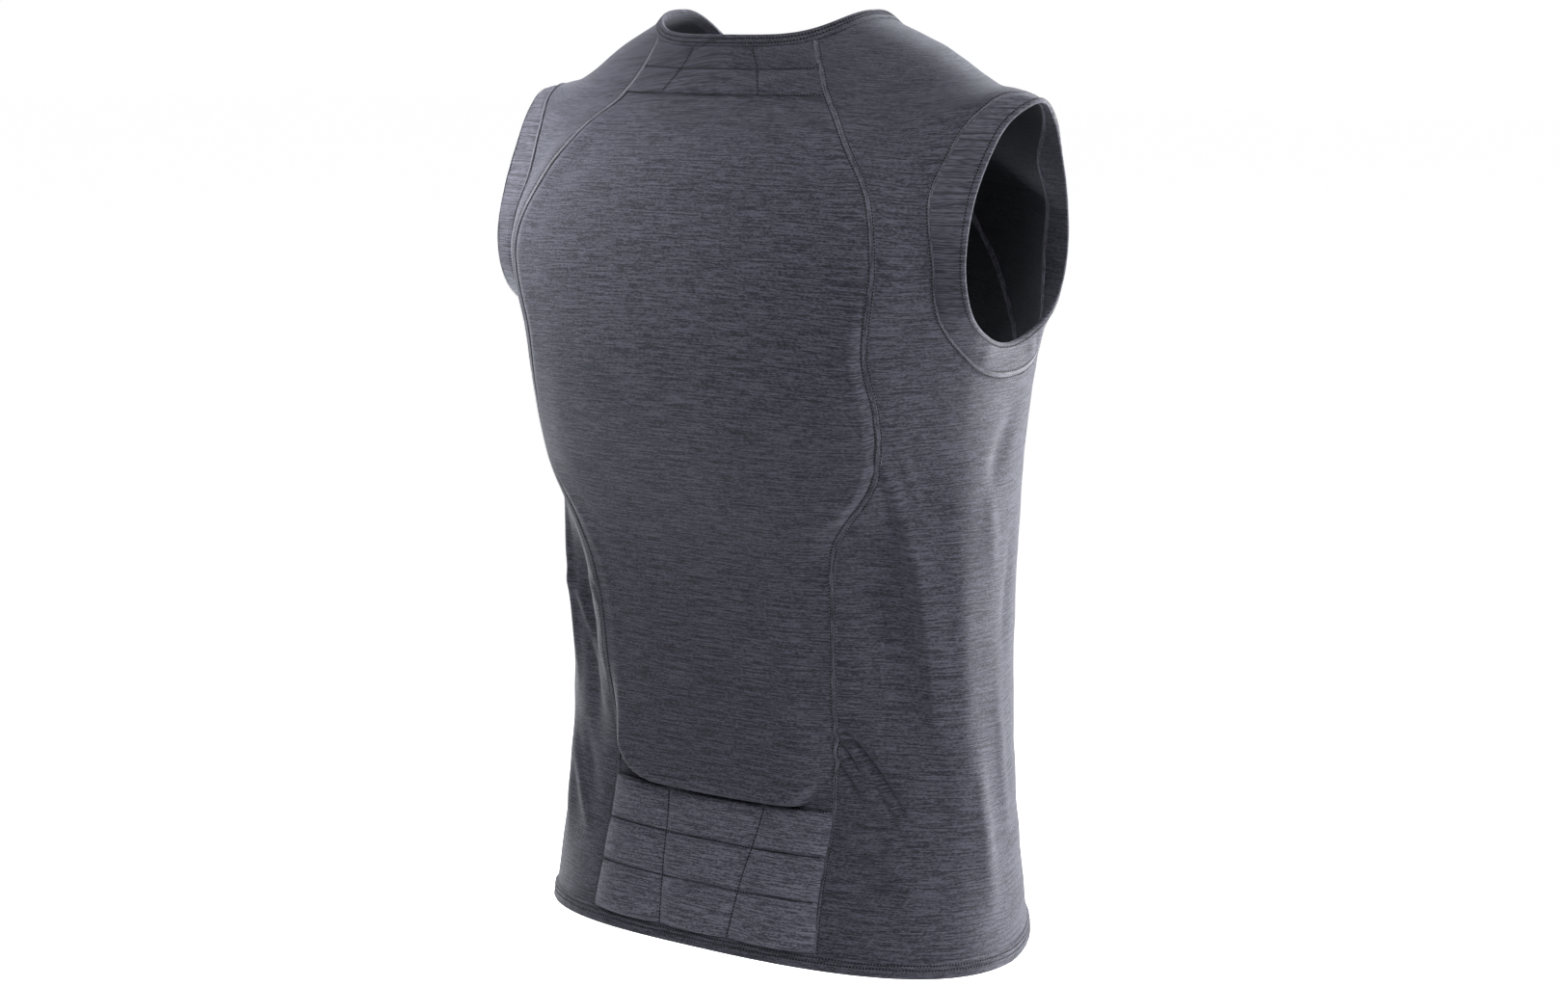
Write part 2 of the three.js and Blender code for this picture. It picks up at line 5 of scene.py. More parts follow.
import bpy
import numpy as np
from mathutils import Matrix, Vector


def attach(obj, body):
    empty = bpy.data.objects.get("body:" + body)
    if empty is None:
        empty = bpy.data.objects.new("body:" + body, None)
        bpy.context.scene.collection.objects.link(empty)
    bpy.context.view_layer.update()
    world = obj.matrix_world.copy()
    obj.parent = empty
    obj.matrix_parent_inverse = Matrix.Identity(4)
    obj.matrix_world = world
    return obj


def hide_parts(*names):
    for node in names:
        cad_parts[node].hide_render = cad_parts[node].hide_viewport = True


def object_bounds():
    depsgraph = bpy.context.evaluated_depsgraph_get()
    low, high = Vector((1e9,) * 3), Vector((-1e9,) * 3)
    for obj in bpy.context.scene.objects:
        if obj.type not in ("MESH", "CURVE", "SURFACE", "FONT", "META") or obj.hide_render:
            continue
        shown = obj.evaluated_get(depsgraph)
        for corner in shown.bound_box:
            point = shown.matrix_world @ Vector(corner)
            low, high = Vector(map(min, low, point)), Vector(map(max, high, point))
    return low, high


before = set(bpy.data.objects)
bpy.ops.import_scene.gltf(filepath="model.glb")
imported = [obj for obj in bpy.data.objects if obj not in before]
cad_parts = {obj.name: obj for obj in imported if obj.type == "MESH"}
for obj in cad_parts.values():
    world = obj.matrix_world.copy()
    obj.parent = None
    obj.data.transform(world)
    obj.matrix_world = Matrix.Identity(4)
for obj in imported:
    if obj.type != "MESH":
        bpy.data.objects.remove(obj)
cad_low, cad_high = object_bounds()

MM = 0.001


# Camera
# It looks at the back of the vest from the wearer's right, from the height of the shoulders.
VIEW_AZIMUTH = math.radians(215)
VIEW_ELEVATION = math.radians(9.5)
VIEW_DISTANCE = 2.1
VIEW_TARGET = np.array([0, 0, -0.345])
LENS_MM = 66.45

view_side = np.array([math.sin(VIEW_AZIMUTH), -math.cos(VIEW_AZIMUTH), 0])
eye = VIEW_TARGET + VIEW_DISTANCE * (view_side * math.cos(VIEW_ELEVATION) + [0, 0, math.sin(VIEW_ELEVATION)])
bpy.ops.object.camera_add(location=eye, rotation=(math.pi / 2 - VIEW_ELEVATION, 0, VIEW_AZIMUTH))
camera = bpy.context.object
camera.data.lens = LENS_MM
camera.data.clip_end = 100
bpy.context.scene.camera = camera


# Jersey
# A fine single knit of polyester, dyed dark slate, whose yarns take the dye unevenly, so that thin pale and
# dark streaks run round the body. Its inner face is painted darker, as painted shade inside the vest. It
# shines softly where the light grazes it.
JERSEY_DARK = (0.014, 0.0138, 0.0225, 1)
JERSEY_LIGHT = (0.08, 0.079, 0.11, 1)
# Painted shade: the inner faces of the panels and the pads are mixed towards this dark colour.
PAINTED_INSIDE_SHADE = (0.004, 0.0055, 0.0095, 1)
PAINTED_INSIDE_SHADE_SHARE = 0.75
HEATHER_STREAKS = {
    "short": {"scale": (120, 1150, 1), "detail": 1, "start": 3.1, "weight": 0.31},
    "long": {"scale": (30, 850, 1), "detail": 1, "start": 17.3, "weight": 0.34},
    "fleck": {"scale": (430, 1100, 1), "detail": 1, "start": 41.9, "weight": 0.33},
    "broad": {"scale": (9, 26, 1), "detail": 2, "start": 7.7, "weight": 0.02},
}
DARKEST_YARN = 0.415
LIGHTEST_YARN = 0.612
WALE = 0.85 * MM
COURSE = 0.7 * MM
LOOP_ARCH = 2.2
CLOTH_SPECULAR = 0.3
SHEEN_TINT = (0.72, 0.78, 0.88, 1)
JERSEY_FINISH = {"roughness": 0.72, "sheen": 0.3, "sheen_roughness": 0.38, "sheen_tint": SHEEN_TINT}
YARN_RELIEF = 0.8
LOOP_RELIEF = 0.5
CLOTH_RELIEF = 0.42 * MM


def new_group(name, inputs, outputs):
    group = bpy.data.node_groups.new(name, "ShaderNodeTree")
    for socket, kind in inputs:
        group.interface.new_socket(socket, in_out="INPUT", socket_type=kind)
    for socket, kind in outputs:
        group.interface.new_socket(socket, in_out="OUTPUT", socket_type=kind)
    return group, group.nodes.new("NodeGroupInput"), group.nodes.new("NodeGroupOutput")


def feed(tree, socket, value):
    """Links a node's socket to another one, or sets it to a plain value."""
    if isinstance(value, bpy.types.NodeSocket):
        tree.links.new(value, socket)
    elif value is not None:
        socket.default_value = value


def math_node(tree, operation, first, second=None):
    node = tree.nodes.new("ShaderNodeMath")
    node.operation = operation
    feed(tree, node.inputs[0], first)
    feed(tree, node.inputs[1], second)
    return node.outputs[0]


def mix_colours(tree, share, first, second):
    node = tree.nodes.new("ShaderNodeMix")
    node.data_type = "RGBA"
    feed(tree, node.inputs["Factor"], share)
    feed(tree, node.inputs["A"], first)
    feed(tree, node.inputs["B"], second)
    return node.outputs["Result"]


def streak_noise(tree, place, streak):
    mapping = tree.nodes.new("ShaderNodeMapping")
    mapping.inputs["Location"].default_value = (streak["start"], streak["start"] * 0.7, 0)
    mapping.inputs["Scale"].default_value = streak["scale"]
    noise = tree.nodes.new("ShaderNodeTexNoise")
    noise.noise_dimensions = "2D"
    noise.inputs["Scale"].default_value = 1
    noise.inputs["Detail"].default_value = streak["detail"]
    tree.links.new(place, mapping.inputs["Vector"])
    tree.links.new(mapping.outputs[0], noise.inputs["Vector"])
    return noise.outputs[0]


def heather_group():
    """Streaks of yarn along the first direction of a map in metres, from dark to light."""
    group, start, end = new_group(
        "heather",
        [("Map", "NodeSocketVector"), ("Dark", "NodeSocketColor"), ("Light", "NodeSocketColor")],
        [("Color", "NodeSocketColor"), ("Height", "NodeSocketFloat")],
    )
    streaks = 0
    for streak in HEATHER_STREAKS.values():
        noise = streak_noise(group, start.outputs["Map"], streak)
        streaks = math_node(group, "ADD", streaks, math_node(group, "MULTIPLY", noise, streak["weight"]))
    spread = group.nodes.new("ShaderNodeMapRange")
    spread.inputs["From Min"].default_value = DARKEST_YARN
    spread.inputs["From Max"].default_value = LIGHTEST_YARN
    group.links.new(streaks, spread.inputs["Value"])
    colour = mix_colours(group, spread.outputs[0], start.outputs["Dark"], start.outputs["Light"])
    group.links.new(colour, end.inputs["Color"])
    group.links.new(streaks, end.inputs["Height"])
    return group


def knit_group():
    """The loops of a single knit as a height from 0 to 1, with wales across the map and courses up it."""
    group, start, end = new_group("knit", [("Map", "NodeSocketVector")], [("Height", "NodeSocketFloat")])
    split = group.nodes.new("ShaderNodeSeparateXYZ")
    group.links.new(start.outputs["Map"], split.inputs[0])
    wale = math_node(group, "SINE", math_node(group, "MULTIPLY", split.outputs["X"], math.pi / WALE))
    wale = math_node(group, "ABSOLUTE", wale)
    course = math_node(group, "MULTIPLY", split.outputs["Y"], 2 * math.pi / COURSE)
    arch = math_node(group, "MULTIPLY", wale, LOOP_ARCH)
    course = math_node(group, "SINE", math_node(group, "ADD", course, arch))
    loops = math_node(group, "MULTIPLY", math_node(group, "ADD", course, 1), 0.25)
    ribs = math_node(group, "MULTIPLY", wale, 0.5)
    group.links.new(math_node(group, "ADD", loops, ribs), end.inputs["Height"])
    return group


HEATHER = heather_group()
KNIT = knit_group()


def new_material(name, roughness, sheen=0, sheen_roughness=0.5, sheen_tint=(1, 1, 1, 1)):
    material = bpy.data.materials.new(name)
    material.use_nodes = True
    shader = material.node_tree.nodes["Principled BSDF"]
    shader.inputs["Roughness"].default_value = roughness
    shader.inputs["Specular IOR Level"].default_value = CLOTH_SPECULAR
    shader.inputs["Sheen Weight"].default_value = sheen
    shader.inputs["Sheen Roughness"].default_value = sheen_roughness
    shader.inputs["Sheen Tint"].default_value = sheen_tint
    return material, material.node_tree, shader


def place_group(tree, group, **values):
    node = tree.nodes.new("ShaderNodeGroup")
    node.node_tree = group
    for name, value in values.items():
        feed(tree, node.inputs[name], value)
    return node


def bump_to(tree, shader, height, distance):
    bump = tree.nodes.new("ShaderNodeBump")
    bump.inputs["Distance"].default_value = distance
    tree.links.new(height, bump.inputs["Height"])
    tree.links.new(bump.outputs[0], shader.inputs["Normal"])


def cloth_material(name, dark, light, inside_shade_share=0):
    """Heathered knit on the piece's own map in metres. Its last argument says how far its inner face is
    painted darker, as painted shade.
    """
    material, tree, shader = new_material(name, **JERSEY_FINISH)
    own_map = tree.nodes.new("ShaderNodeUVMap").outputs[0]
    heather = place_group(tree, HEATHER, Map=own_map, Dark=dark, Light=light)
    knit = place_group(tree, KNIT, Map=own_map)
    inside = tree.nodes.new("ShaderNodeAttribute")
    inside.attribute_name = "inside"
    # The inner face is mixed towards a dark colour as painted shade.
    share = math_node(tree, "MULTIPLY", inside.outputs["Fac"], inside_shade_share)
    colour = mix_colours(tree, share, heather.outputs["Color"], PAINTED_INSIDE_SHADE)
    tree.links.new(colour, shader.inputs["Base Color"])
    height = math_node(tree, "MULTIPLY", heather.outputs["Height"], YARN_RELIEF)
    height = math_node(tree, "ADD", height, math_node(tree, "MULTIPLY", knit.outputs["Height"], LOOP_RELIEF))
    bump_to(tree, shader, height, CLOTH_RELIEF)
    return material


PANEL_JERSEY = cloth_material("panel_jersey", JERSEY_DARK, JERSEY_LIGHT, inside_shade_share=PAINTED_INSIDE_SHADE_SHARE)


# Back panel
# One piece of jersey between the two long back seams, over a foam protector 12 mm thick that shows through.
# The protector follows the seams, ends below in a broad U with a lip, and fades out towards the yoke.
CLOTH = 1.6 * MM
SEAM_GAP = 0.4 * MM
PROTECTOR_RISE = 12 * MM
PROTECTOR_EDGE = 6 * MM
BACK_WAVE = 0.45 * MM
SIDES = ((1, "left"), (-1, "right"))

# The protector begins a little off the back seams and the lumbar pad. Near its foot its side edges are some
# times wider, up to a ring and fading over more. Its lower edge rises to both corners by millimetres and a
# power, and is softer at the right one. The lip hangs over below it, but not in the corners.
SEAM_FLAT = 2 * MM
PAD_FLAT = 0.5 * MM
FOOT_EDGE = {"left": 1.8, "right": 5, "up_to": 4.2, "over": 1.6}
LEFT_CORNER = {"height": 44, "power": 7}
RIGHT_CORNER = {"height": 9, "power": 4, "from": 0.72, "over": 0.2}
LOWER_EDGE = {"width": 6, "right_width": 26}
YOKE_FADE = 70 * MM
LIP = {"hang": 3.5 * MM, "foot": 3 * MM, "top": 13 * MM, "fade": 10 * MM, "end": 0.9, "end_fade": 0.1}

# The worn figure as rings from hem to neck, in millimetres. Each ring has its half-width, and its depth and
# height at the side, behind and before. The m and p columns say how the height runs between them, and the
# round ones are the powers of its corners. The last three are the half-widths where the long seams cross it.
RING_COLUMNS = (
    "half_width side_y side_z back_y back_z back_m front_y front_z front_p "
    "round_back round_front back_left back_right front_seam"
).split()
RINGS = {
    "hem": (190, -5, -664, 111, -657, 2, -110, -634, 1.3, 2.35, 2.35, 101, 96, 160),
    "seat": (185, -5, -606, 97, -606, 2, -102, -580, 1.4, 2.35, 2.35, 98, 93, 158),
    "pad_top": (181, -4, -550, 82, -552, 2, -94, -529, 1.6, 2.4, 2.4, 96, 95, 157),
    "waist": (179, -3, -480, 79, -481, 2, -91, -464, 2, 2.4, 2.4, 98, 95, 156),
    "low_back": (179, -2, -410, 84, -410, 2, -94, -399, 2, 2.4, 2.4, 103, 97, 156),
    "taper": (180, -3, -360, 92, -360, 2, -99, -352, 2, 2.4, 2.4, 121, 102, 156),
    "ribs": (181, -4, -312, 107, -312, 2, -105, -307, 2, 2.45, 2.4, 150, 132, 156),
    "chest": (186, -3, -265, 119, -267, 2, -109, -266, 2, 2.6, 2.4, 144, 140, 152),
    "armpit": (193, -2, -222, 123, -226, 2, -111, -232, 2, 2.8, 2.4, 140, 138, 141),
    "blade": (203, -1, -162, 116, -172, 2, -110, -192, 2, 3.2, 2.4, 155, 145, 122),
    "upper": (213, -1, -112, 103, -128, 2, -105, -160, 2.2, 2.6, 2.3, 139, 133, 103),
    "tip": (201, 0, -60, 90, -84, 6, -100, -136, 2.2, 2.2, 2.1, 114, 105, 88),
    "slope": (167, 1, -48, 79, -57, 5, -94, -118, 2.4, 2.15, 2.1, 87, 85, 77),
    "ridge": (127, 2, -24, 71, -38, 4, -87, -104, 2.4, 2.4, 2.4, 73, 74, 69),
    "neck_seam": (89, 4, -6, 68, -24, 5, -82, -90, 2, 2.8, 2.6, 67, 66, 62),
    "neck_edge": (82, 5, 0, 66, -16, 5, -76, -82, 2, 2.8, 2.6, 64, 63, 60),
}
RING_NAMES = list(RINGS)
LAST_RING = len(RINGS) - 1
HEM_SEAM = 0.29
PAD_TOP = RING_NAMES.index("pad_top")
YOKE_LINE = RING_NAMES.index("slope")
NECK_SEAM = RING_NAMES.index("neck_seam")
UNDER_ARM = RING_NAMES.index("chest")

# How far a panel reaches past its seam with the hem or the binding, in rings
TUCK = 0.012

# The folds of the worn cloth, soft ridges and troughs along lines of places: degrees round the body from the
# wearer's left by the back, and rings. The half-width and the height are in millimetres.
FOLDS = [
    ("right drape", [(137, 6.3), (152, 2.4)], 14, 5),
    ("right hollow", [(128, 5.3), (138, 2.8)], 13, -3.5),
    ("right under arm", [(186, 7.1), (166, 5.4)], 15, -3),
    ("right low", [(163, 2.8), (172, 0.6)], 16, 3.5),
    ("left drape", [(30, 5.4), (37, 2.6)], 8, 4.5),
    ("left hollow", [(43, 5.0), (47, 3.6), (51, 2.0)], 15, -6),
    ("left low", [(32, 2.6), (40, 0.7)], 13, 3.5),
    ("left under arm", [(-8, 7.1), (12, 5.2)], 15, -3),
    ("front waist right", [(236, 4.4), (250, 1.1)], 17, 4),
    ("front waist left", [(306, 4.9), (291, 1.6)], 16, 3.5),
    ("front chest right", [(214, 7.4), (228, 5.6)], 14, -3),
    ("front chest left", [(325, 7.5), (312, 5.4)], 14, -3),
    ("right crest", [(131, 7.1), (134.5, 6.5), (137, 6.0), (139.5, 5.5), (141, 5), (144, 4), (146, 3.2),
                     (148, 2.4)], 4.5, 2.8),
    ("right crest hollow", [(131.5, 6.7), (135.5, 5.9), (137, 5.3), (138.5, 4.6), (140, 3.8)], 4, -1.8),
    ("right crest two", [(136, 6.9), (140.5, 6.3), (144, 5.6), (147.5, 4.9)], 4, 1.5),
    ("right swell", [(152, 6.0), (160, 0.6)], 24, 3.5),
    ("right tuck one", [(118.5, 2.9), (124.5, 2.53), (129, 2.22)], 2.7, -4.6),
    ("right tuck two", [(118.5, 2.66), (123.5, 2.36), (128, 2.05)], 2.7, -4.2),
    ("right tuck three", [(118, 3.1), (124, 2.78), (130.5, 2.46), (135, 2.22), (140.5, 1.85)], 3.2, -6),
    ("right tuck four", [(126, 2.54), (131.8, 2.2), (136.5, 1.9)], 2.8, -3.6),
    ("right fan one", [(142, 3.5), (160, 1.7)], 10, 1.4),
    ("right fan two", [(133, 1.9), (143, 0.6)], 8, 1.3),
    ("right side one", [(168, 6.6), (176, 4.2)], 12, 1.3),
    ("right side two", [(190, 5.4), (183, 3.2)], 13, -1.5),
    ("right side three", [(177, 3.6), (187, 1.4)], 12, 1.4),
    ("right blade", [(131, 9.9), (146, 9.2)], 7, 0.9),
    ("right arm drag one", [(140, 10.6), (153, 9.9)], 7, -0.9),
    ("right arm drag two", [(137, 8.9), (151, 8.1)], 8, 1.0),
    ("right arm drag three", [(139, 8.3), (158, 7.3)], 8, -1.1),
    ("left crest", [(27, 4.05), (41, 3.7), (51, 3.03), (58, 2.5)], 5, 2.4),
    ("left tuck one", [(49, 4.2), (53, 3.95), (58, 3.75)], 3, 1.5),
    ("left tuck two", [(47, 4.0), (53, 3.55)], 3, 1.3),
    ("left tuck three", [(50, 3.3), (58, 2.95)], 3, -1.2),
    ("left low crest", [(34, 2.3), (43, 1.7), (53, 1.05)], 6, 2.2),
    ("left low hollow", [(41, 2.5), (54, 1.5)], 7, -1.6),
    ("left side one", [(12, 6.2), (6, 4.0)], 13, 1.5),
    ("left side two", [(-6, 4.4), (4, 2.2)], 12, -1.4),
    ("left arm drag one", [(41, 9.0), (27, 8.2)], 8, 1.0),
    ("left arm drag two", [(43, 8.4), (20, 7.4)], 8, -1.1),
    ("front middle one", [(262, 3.4), (271, 1.2)], 11, 1.6),
    ("front middle two", [(283, 3.9), (277, 2.0)], 10, -1.5),
    ("front belly", [(250, 5.2), (288, 4.6)], 12, -1.2),
    ("front hem right", [(228, 2.0), (233, 0.5)], 12, 2),
    ("front hem left", [(312, 2.2), (308, 0.6)], 12, 1.8),
    ("front chest drag right", [(222, 8.4), (243, 7.6)], 9, 1.2),
    ("front chest drag left", [(317, 8.5), (297, 7.5)], 9, 1.1),
]

# What a degree and a ring count for across a fold, in millimetres, and the power by which its ends fade
FOLD_DEGREE = 3.2
FOLD_RING = 55
FOLD_FADE = 1.2

# Beside the back seams the protector's edge holds the cloth off the figure. The heights and the width are in
# millimetres. The pairs are rings: where it begins, turns to the upper height and ends, and over how many.
SEAM_LIFT = {
    "low_left": 10, "low_right": 6, "high": 10, "width": 22,
    "begins": (2.2, 1.2), "turns": (8, 0.7), "ends": (11.8, 1.6),
}

# The small step over which a surface's slope is read
STEP = 1e-3


def table_of(columns, rows):
    """The columns of a table of named rows, each as an array."""
    return {key: np.array([row[i] for row in rows.values()], float) for i, key in enumerate(columns)}


RING_TABLE = table_of(RING_COLUMNS, RINGS)


def through(values, place, closed=False):
    """A smooth curve through a column of values, read at places that count its rows."""
    last = len(values) - 1
    row = np.floor(place).astype(int)
    if not closed:
        row = np.clip(row, 0, last - 1)
    t = place - row
    pick = (lambda k: values[k % len(values)]) if closed else (lambda k: values[np.clip(k, 0, last)])
    before, low, high, after = pick(row - 1), pick(row), pick(row + 1), pick(row + 2)
    rise = (2 * t**3 - 3 * t**2 + 1) * low + (3 * t**2 - 2 * t**3) * high
    return rise + ((t**3 - 2 * t**2 + t) * (high - before) + (t**3 - t**2) * (after - low)) / 2


def column(key, ring):
    return through(RING_TABLE[key], np.asarray(ring, float))


def figure(angle, ring):
    """The plain figure, in metres, at an angle round the body on a ring."""
    angle, ring = np.broadcast_arrays(np.asarray(angle, float), np.asarray(ring, float))
    across, behind = np.cos(angle), np.sin(angle)
    back = behind >= 0
    power = np.where(back, column("round_back", ring), column("round_front", ring))
    reach = (np.abs(across) ** power + np.abs(behind) ** power) ** (-1 / power)
    x, y = reach * across, reach * behind
    side_y, side_z = column("side_y", ring), column("side_z", ring)
    depth = np.abs(np.where(back, column("back_y", ring), column("front_y", ring)) - side_y)
    drop = np.where(back, column("back_z", ring), column("front_z", ring)) - side_z
    share_behind = 1 - np.abs(x) ** column("back_m", ring)
    share = np.where(back, share_behind, np.abs(y) ** column("front_p", ring))
    return np.stack([column("half_width", ring) * x, side_y + depth * y, side_z + drop * share], -1) * MM


def normals_of(surface, angle, ring):
    angle, ring = np.broadcast_arrays(np.asarray(angle, float), np.asarray(ring, float))
    round_it = surface(angle + STEP, ring) - surface(angle - STEP, ring)
    up = surface(angle, np.minimum(ring + STEP, LAST_RING)) - surface(angle, np.maximum(ring - STEP, 0))
    normal = np.cross(round_it, up)
    return normal / np.linalg.norm(normal, axis=-1, keepdims=True)


def fold_height(angle, ring):
    """How far the folds lift the cloth, each fading out towards the two ends of its line."""
    degrees = np.degrees(angle)
    height = np.zeros(np.broadcast(angle, ring).shape)
    for _, places, half_width, rise in FOLDS:
        first_deg, first_ring = places[0]
        x = ((degrees - first_deg + 180) % 360 - 180) * FOLD_DEGREE
        y = (ring - first_ring) * FOLD_RING
        line = [((deg - first_deg) * FOLD_DEGREE, (up - first_ring) * FOLD_RING) for deg, up in places]
        lengths = [math.dist(a, b) for a, b in zip(line, line[1:])]
        whole = sum(lengths)
        nearest = np.full(height.shape, 1e9)
        along = np.zeros(height.shape)
        done = 0
        for (x0, y0), (x1, y1), length in zip(line, line[1:], lengths):
            t = np.clip(((x - x0) * (x1 - x0) + (y - y0) * (y1 - y0)) / length**2, 0, 1)
            away = np.hypot(x - x0 - t * (x1 - x0), y - y0 - t * (y1 - y0))
            closer = away < nearest
            nearest = np.where(closer, away, nearest)
            along = np.where(closer, (done + t * length) / whole, along)
            done += length
        strength = np.sin(math.pi * along).clip(0) ** FOLD_FADE
        height += rise * strength * np.exp(-((nearest / half_width) ** 2))
    return height * MM


def soften(t):
    t = np.clip(t, 0, 1)
    return t * t * (3 - 2 * t)


def mix(a, b, share):
    return a + (b - a) * share


def angle_of_width(x, ring, half):
    power = column(f"round_{half}", ring)
    across = x / column("half_width", ring)
    return np.arctan2((1 - across**power) ** (1 / power), across)


def seam_angle(kind, side, ring, inset=0.0):
    """The angle of a long seam, counted from the wearer's left (side 1) or right (-1) round to the back.
    inset moves it round from the front, in metres. Front seams have negative angles."""
    key = "front_seam" if kind == "front" else "back_left" if side > 0 else "back_right"
    angle = angle_of_width(column(key, ring), ring, kind) * (-1 if kind == "front" else 1)
    two_steps = figure(angle + STEP, ring) - figure(angle - STEP, ring)
    return angle + inset * 2 * STEP / np.linalg.norm(two_steps, axis=-1)


def around(side, angle):
    return angle if side > 0 else math.pi - angle


def seam_lift(angle, ring):
    """How far the protector's edge holds the cloth off the figure beside each long back seam."""
    here = figure(angle, ring)
    lift = 0
    begins, begins_over = SEAM_LIFT["begins"]
    turns, turns_over = SEAM_LIFT["turns"]
    ends, ends_over = SEAM_LIFT["ends"]
    for side, name in SIDES:
        height = mix(SEAM_LIFT[f"low_{name}"], SEAM_LIFT["high"], soften((ring - turns) / turns_over))
        height = height * soften((ring - begins) / begins_over) * soften((ends - ring) / ends_over) * MM
        seam = figure(around(side, seam_angle("back", side, ring)), ring)
        away = np.linalg.norm(here - seam, axis=-1) / (SEAM_LIFT["width"] * MM)
        lift = lift + height * np.exp(-(away**2))
    return lift


def worn(angle, ring):
    """The inner face of the cloth: the figure with its folds and the lift beside the back seams."""
    height = fold_height(angle, ring) + seam_lift(angle, ring)
    return figure(angle, ring) + normals_of(figure, angle, ring) * height[..., None]


# The cloth's own map: metres round the body, and metres up it from the hem, read from a table of distances
MAP_ANGLES = np.radians(np.arange(-120, 481, 3))
MAP_STEP = 0.25
MAP_RINGS = np.arange(0, LAST_RING + 0.01, MAP_STEP)
map_points = figure(MAP_ANGLES[None, :], MAP_RINGS[:, None])
map_round = np.linalg.norm(np.diff(map_points, axis=1), axis=-1)
map_round = np.concatenate([np.zeros((len(MAP_RINGS), 1)), np.cumsum(map_round, axis=1)], axis=1)
map_up = np.linalg.norm(np.diff(map_points, axis=0), axis=-1)
map_up = np.concatenate([np.zeros((1, len(MAP_ANGLES))), np.cumsum(map_up, axis=0)], axis=0)


def cloth_map(angle, ring):
    i = np.clip(ring / MAP_STEP, 0, len(MAP_RINGS) - 1.001)
    j = np.clip((angle - MAP_ANGLES[0]) / (MAP_ANGLES[1] - MAP_ANGLES[0]), 0, len(MAP_ANGLES) - 1.001)
    i0, j0 = i.astype(int), j.astype(int)
    s, t = i - i0, j - j0

    def read(table):
        low = mix(table[i0, j0], table[i0, j0 + 1], t)
        high = mix(table[i0 + 1, j0], table[i0 + 1, j0 + 1], t)
        return mix(low, high, s)

    return np.stack([read(map_round), read(map_up)], -1)


def read_points(mesh):
    points = np.empty(len(mesh.vertices) * 3)
    mesh.vertices.foreach_get("co", points)
    return points.reshape(-1, 3)


def cut_flat(name, *blocks):
    """A wall laid out flat. Each block is rows of places, as x and y of the flat wall, and blocks that share
    places are joined. The outer face lies at height 0 and the inner one a unit away."""
    bpy.ops.object.select_all(action="DESELECT")
    pieces = []
    for rows in blocks:
        up, across = rows.shape[0] - 1, rows.shape[1] - 1
        bpy.ops.mesh.primitive_grid_add(x_subdivisions=across, y_subdivisions=up, size=1, location=(0, 0, 0))
        piece = bpy.context.object
        points = read_points(piece.data)
        i = np.rint((points[:, 1] + 0.5) * up).astype(int)
        j = np.rint((points[:, 0] + 0.5) * across).astype(int)
        points[:, :2] = rows[i, j]
        piece.data.vertices.foreach_set("co", points.ravel())
        pieces.append(piece)
    for piece in pieces:
        piece.select_set(True)
    if len(pieces) > 1:
        bpy.ops.object.join()
    piece = bpy.context.object
    piece.name = name
    bpy.ops.object.mode_set(mode="EDIT")
    bpy.ops.mesh.select_all(action="SELECT")
    bpy.ops.mesh.remove_doubles(threshold=1e-5)
    bpy.ops.object.mode_set(mode="OBJECT")
    wall = piece.modifiers.new("wall", "SOLIDIFY")
    wall.thickness = 1
    bpy.ops.object.modifier_apply(modifier="wall")
    return piece


def put_on(piece, locate, turned=False):
    """Puts a flat wall on the body. locate turns its places, and whether each is on the outer face, into
    points in metres and the cloth's own map. turned says that it lies mirrored."""
    mesh = piece.data
    x, y, z = read_points(mesh).T
    outer = np.abs(z) < 0.5
    points, cloth_places = locate(x, y, outer)
    mesh.vertices.foreach_set("co", points.ravel())
    mesh.attributes.new("inside", "FLOAT", "POINT").data.foreach_set("value", (~outer).astype(float))
    corners = np.empty(len(mesh.loops), int)
    mesh.loops.foreach_get("vertex_index", corners)
    mesh.uv_layers[0].data.foreach_set("uv", cloth_places[corners].ravel())
    if turned:
        bpy.ops.object.mode_set(mode="EDIT")
        bpy.ops.mesh.select_all(action="SELECT")
        bpy.ops.mesh.flip_normals()
        bpy.ops.object.mode_set(mode="OBJECT")
    mesh.update()
    bpy.ops.object.shade_smooth_by_angle(angle=math.radians(60))
    return piece


def rows_between(low, high, count, lay):
    """Rows of places from one ring to another."""
    return np.stack([lay(ring) for ring in np.linspace(low, high, count + 1)])


def dress(piece, material, slot, *nodes):
    """Gives a finished piece its material and its place in the vest."""
    piece.data.materials.clear()
    piece.data.materials.append(material)
    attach(piece, "root")
    if nodes:
        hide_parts(*nodes)


def back_angle(share, ring, inset=SEAM_GAP / 2):
    left = seam_angle("back", 1, ring, inset)
    right = math.pi - seam_angle("back", -1, ring, inset)
    return mix(left, right, share)


WANDER_WAVES = 6
WANDER_TURN = 0.45
WANDER_LENGTHS = (24, 60)


def wander(angle, ring, seed):
    """A soft unevenness of the cloth between -1 and 1, a few centimetres wide."""
    places = cloth_map(angle, ring)
    random = np.random.default_rng(seed)
    total = 0
    for _ in range(WANDER_WAVES):
        turn = random.normal(0, WANDER_TURN)
        size = random.uniform(*WANDER_LENGTHS) * MM
        phase = random.uniform(0, 2 * math.pi, 2)
        x = places[..., 0] * math.cos(turn) - places[..., 1] * math.sin(turn)
        y = places[..., 0] * math.sin(turn) + places[..., 1] * math.cos(turn)
        total = total + np.sin(2 * math.pi * y / size + phase[0] + 1.4 * np.sin(x / (2.3 * size) + phase[1]))
    return total / WANDER_WAVES


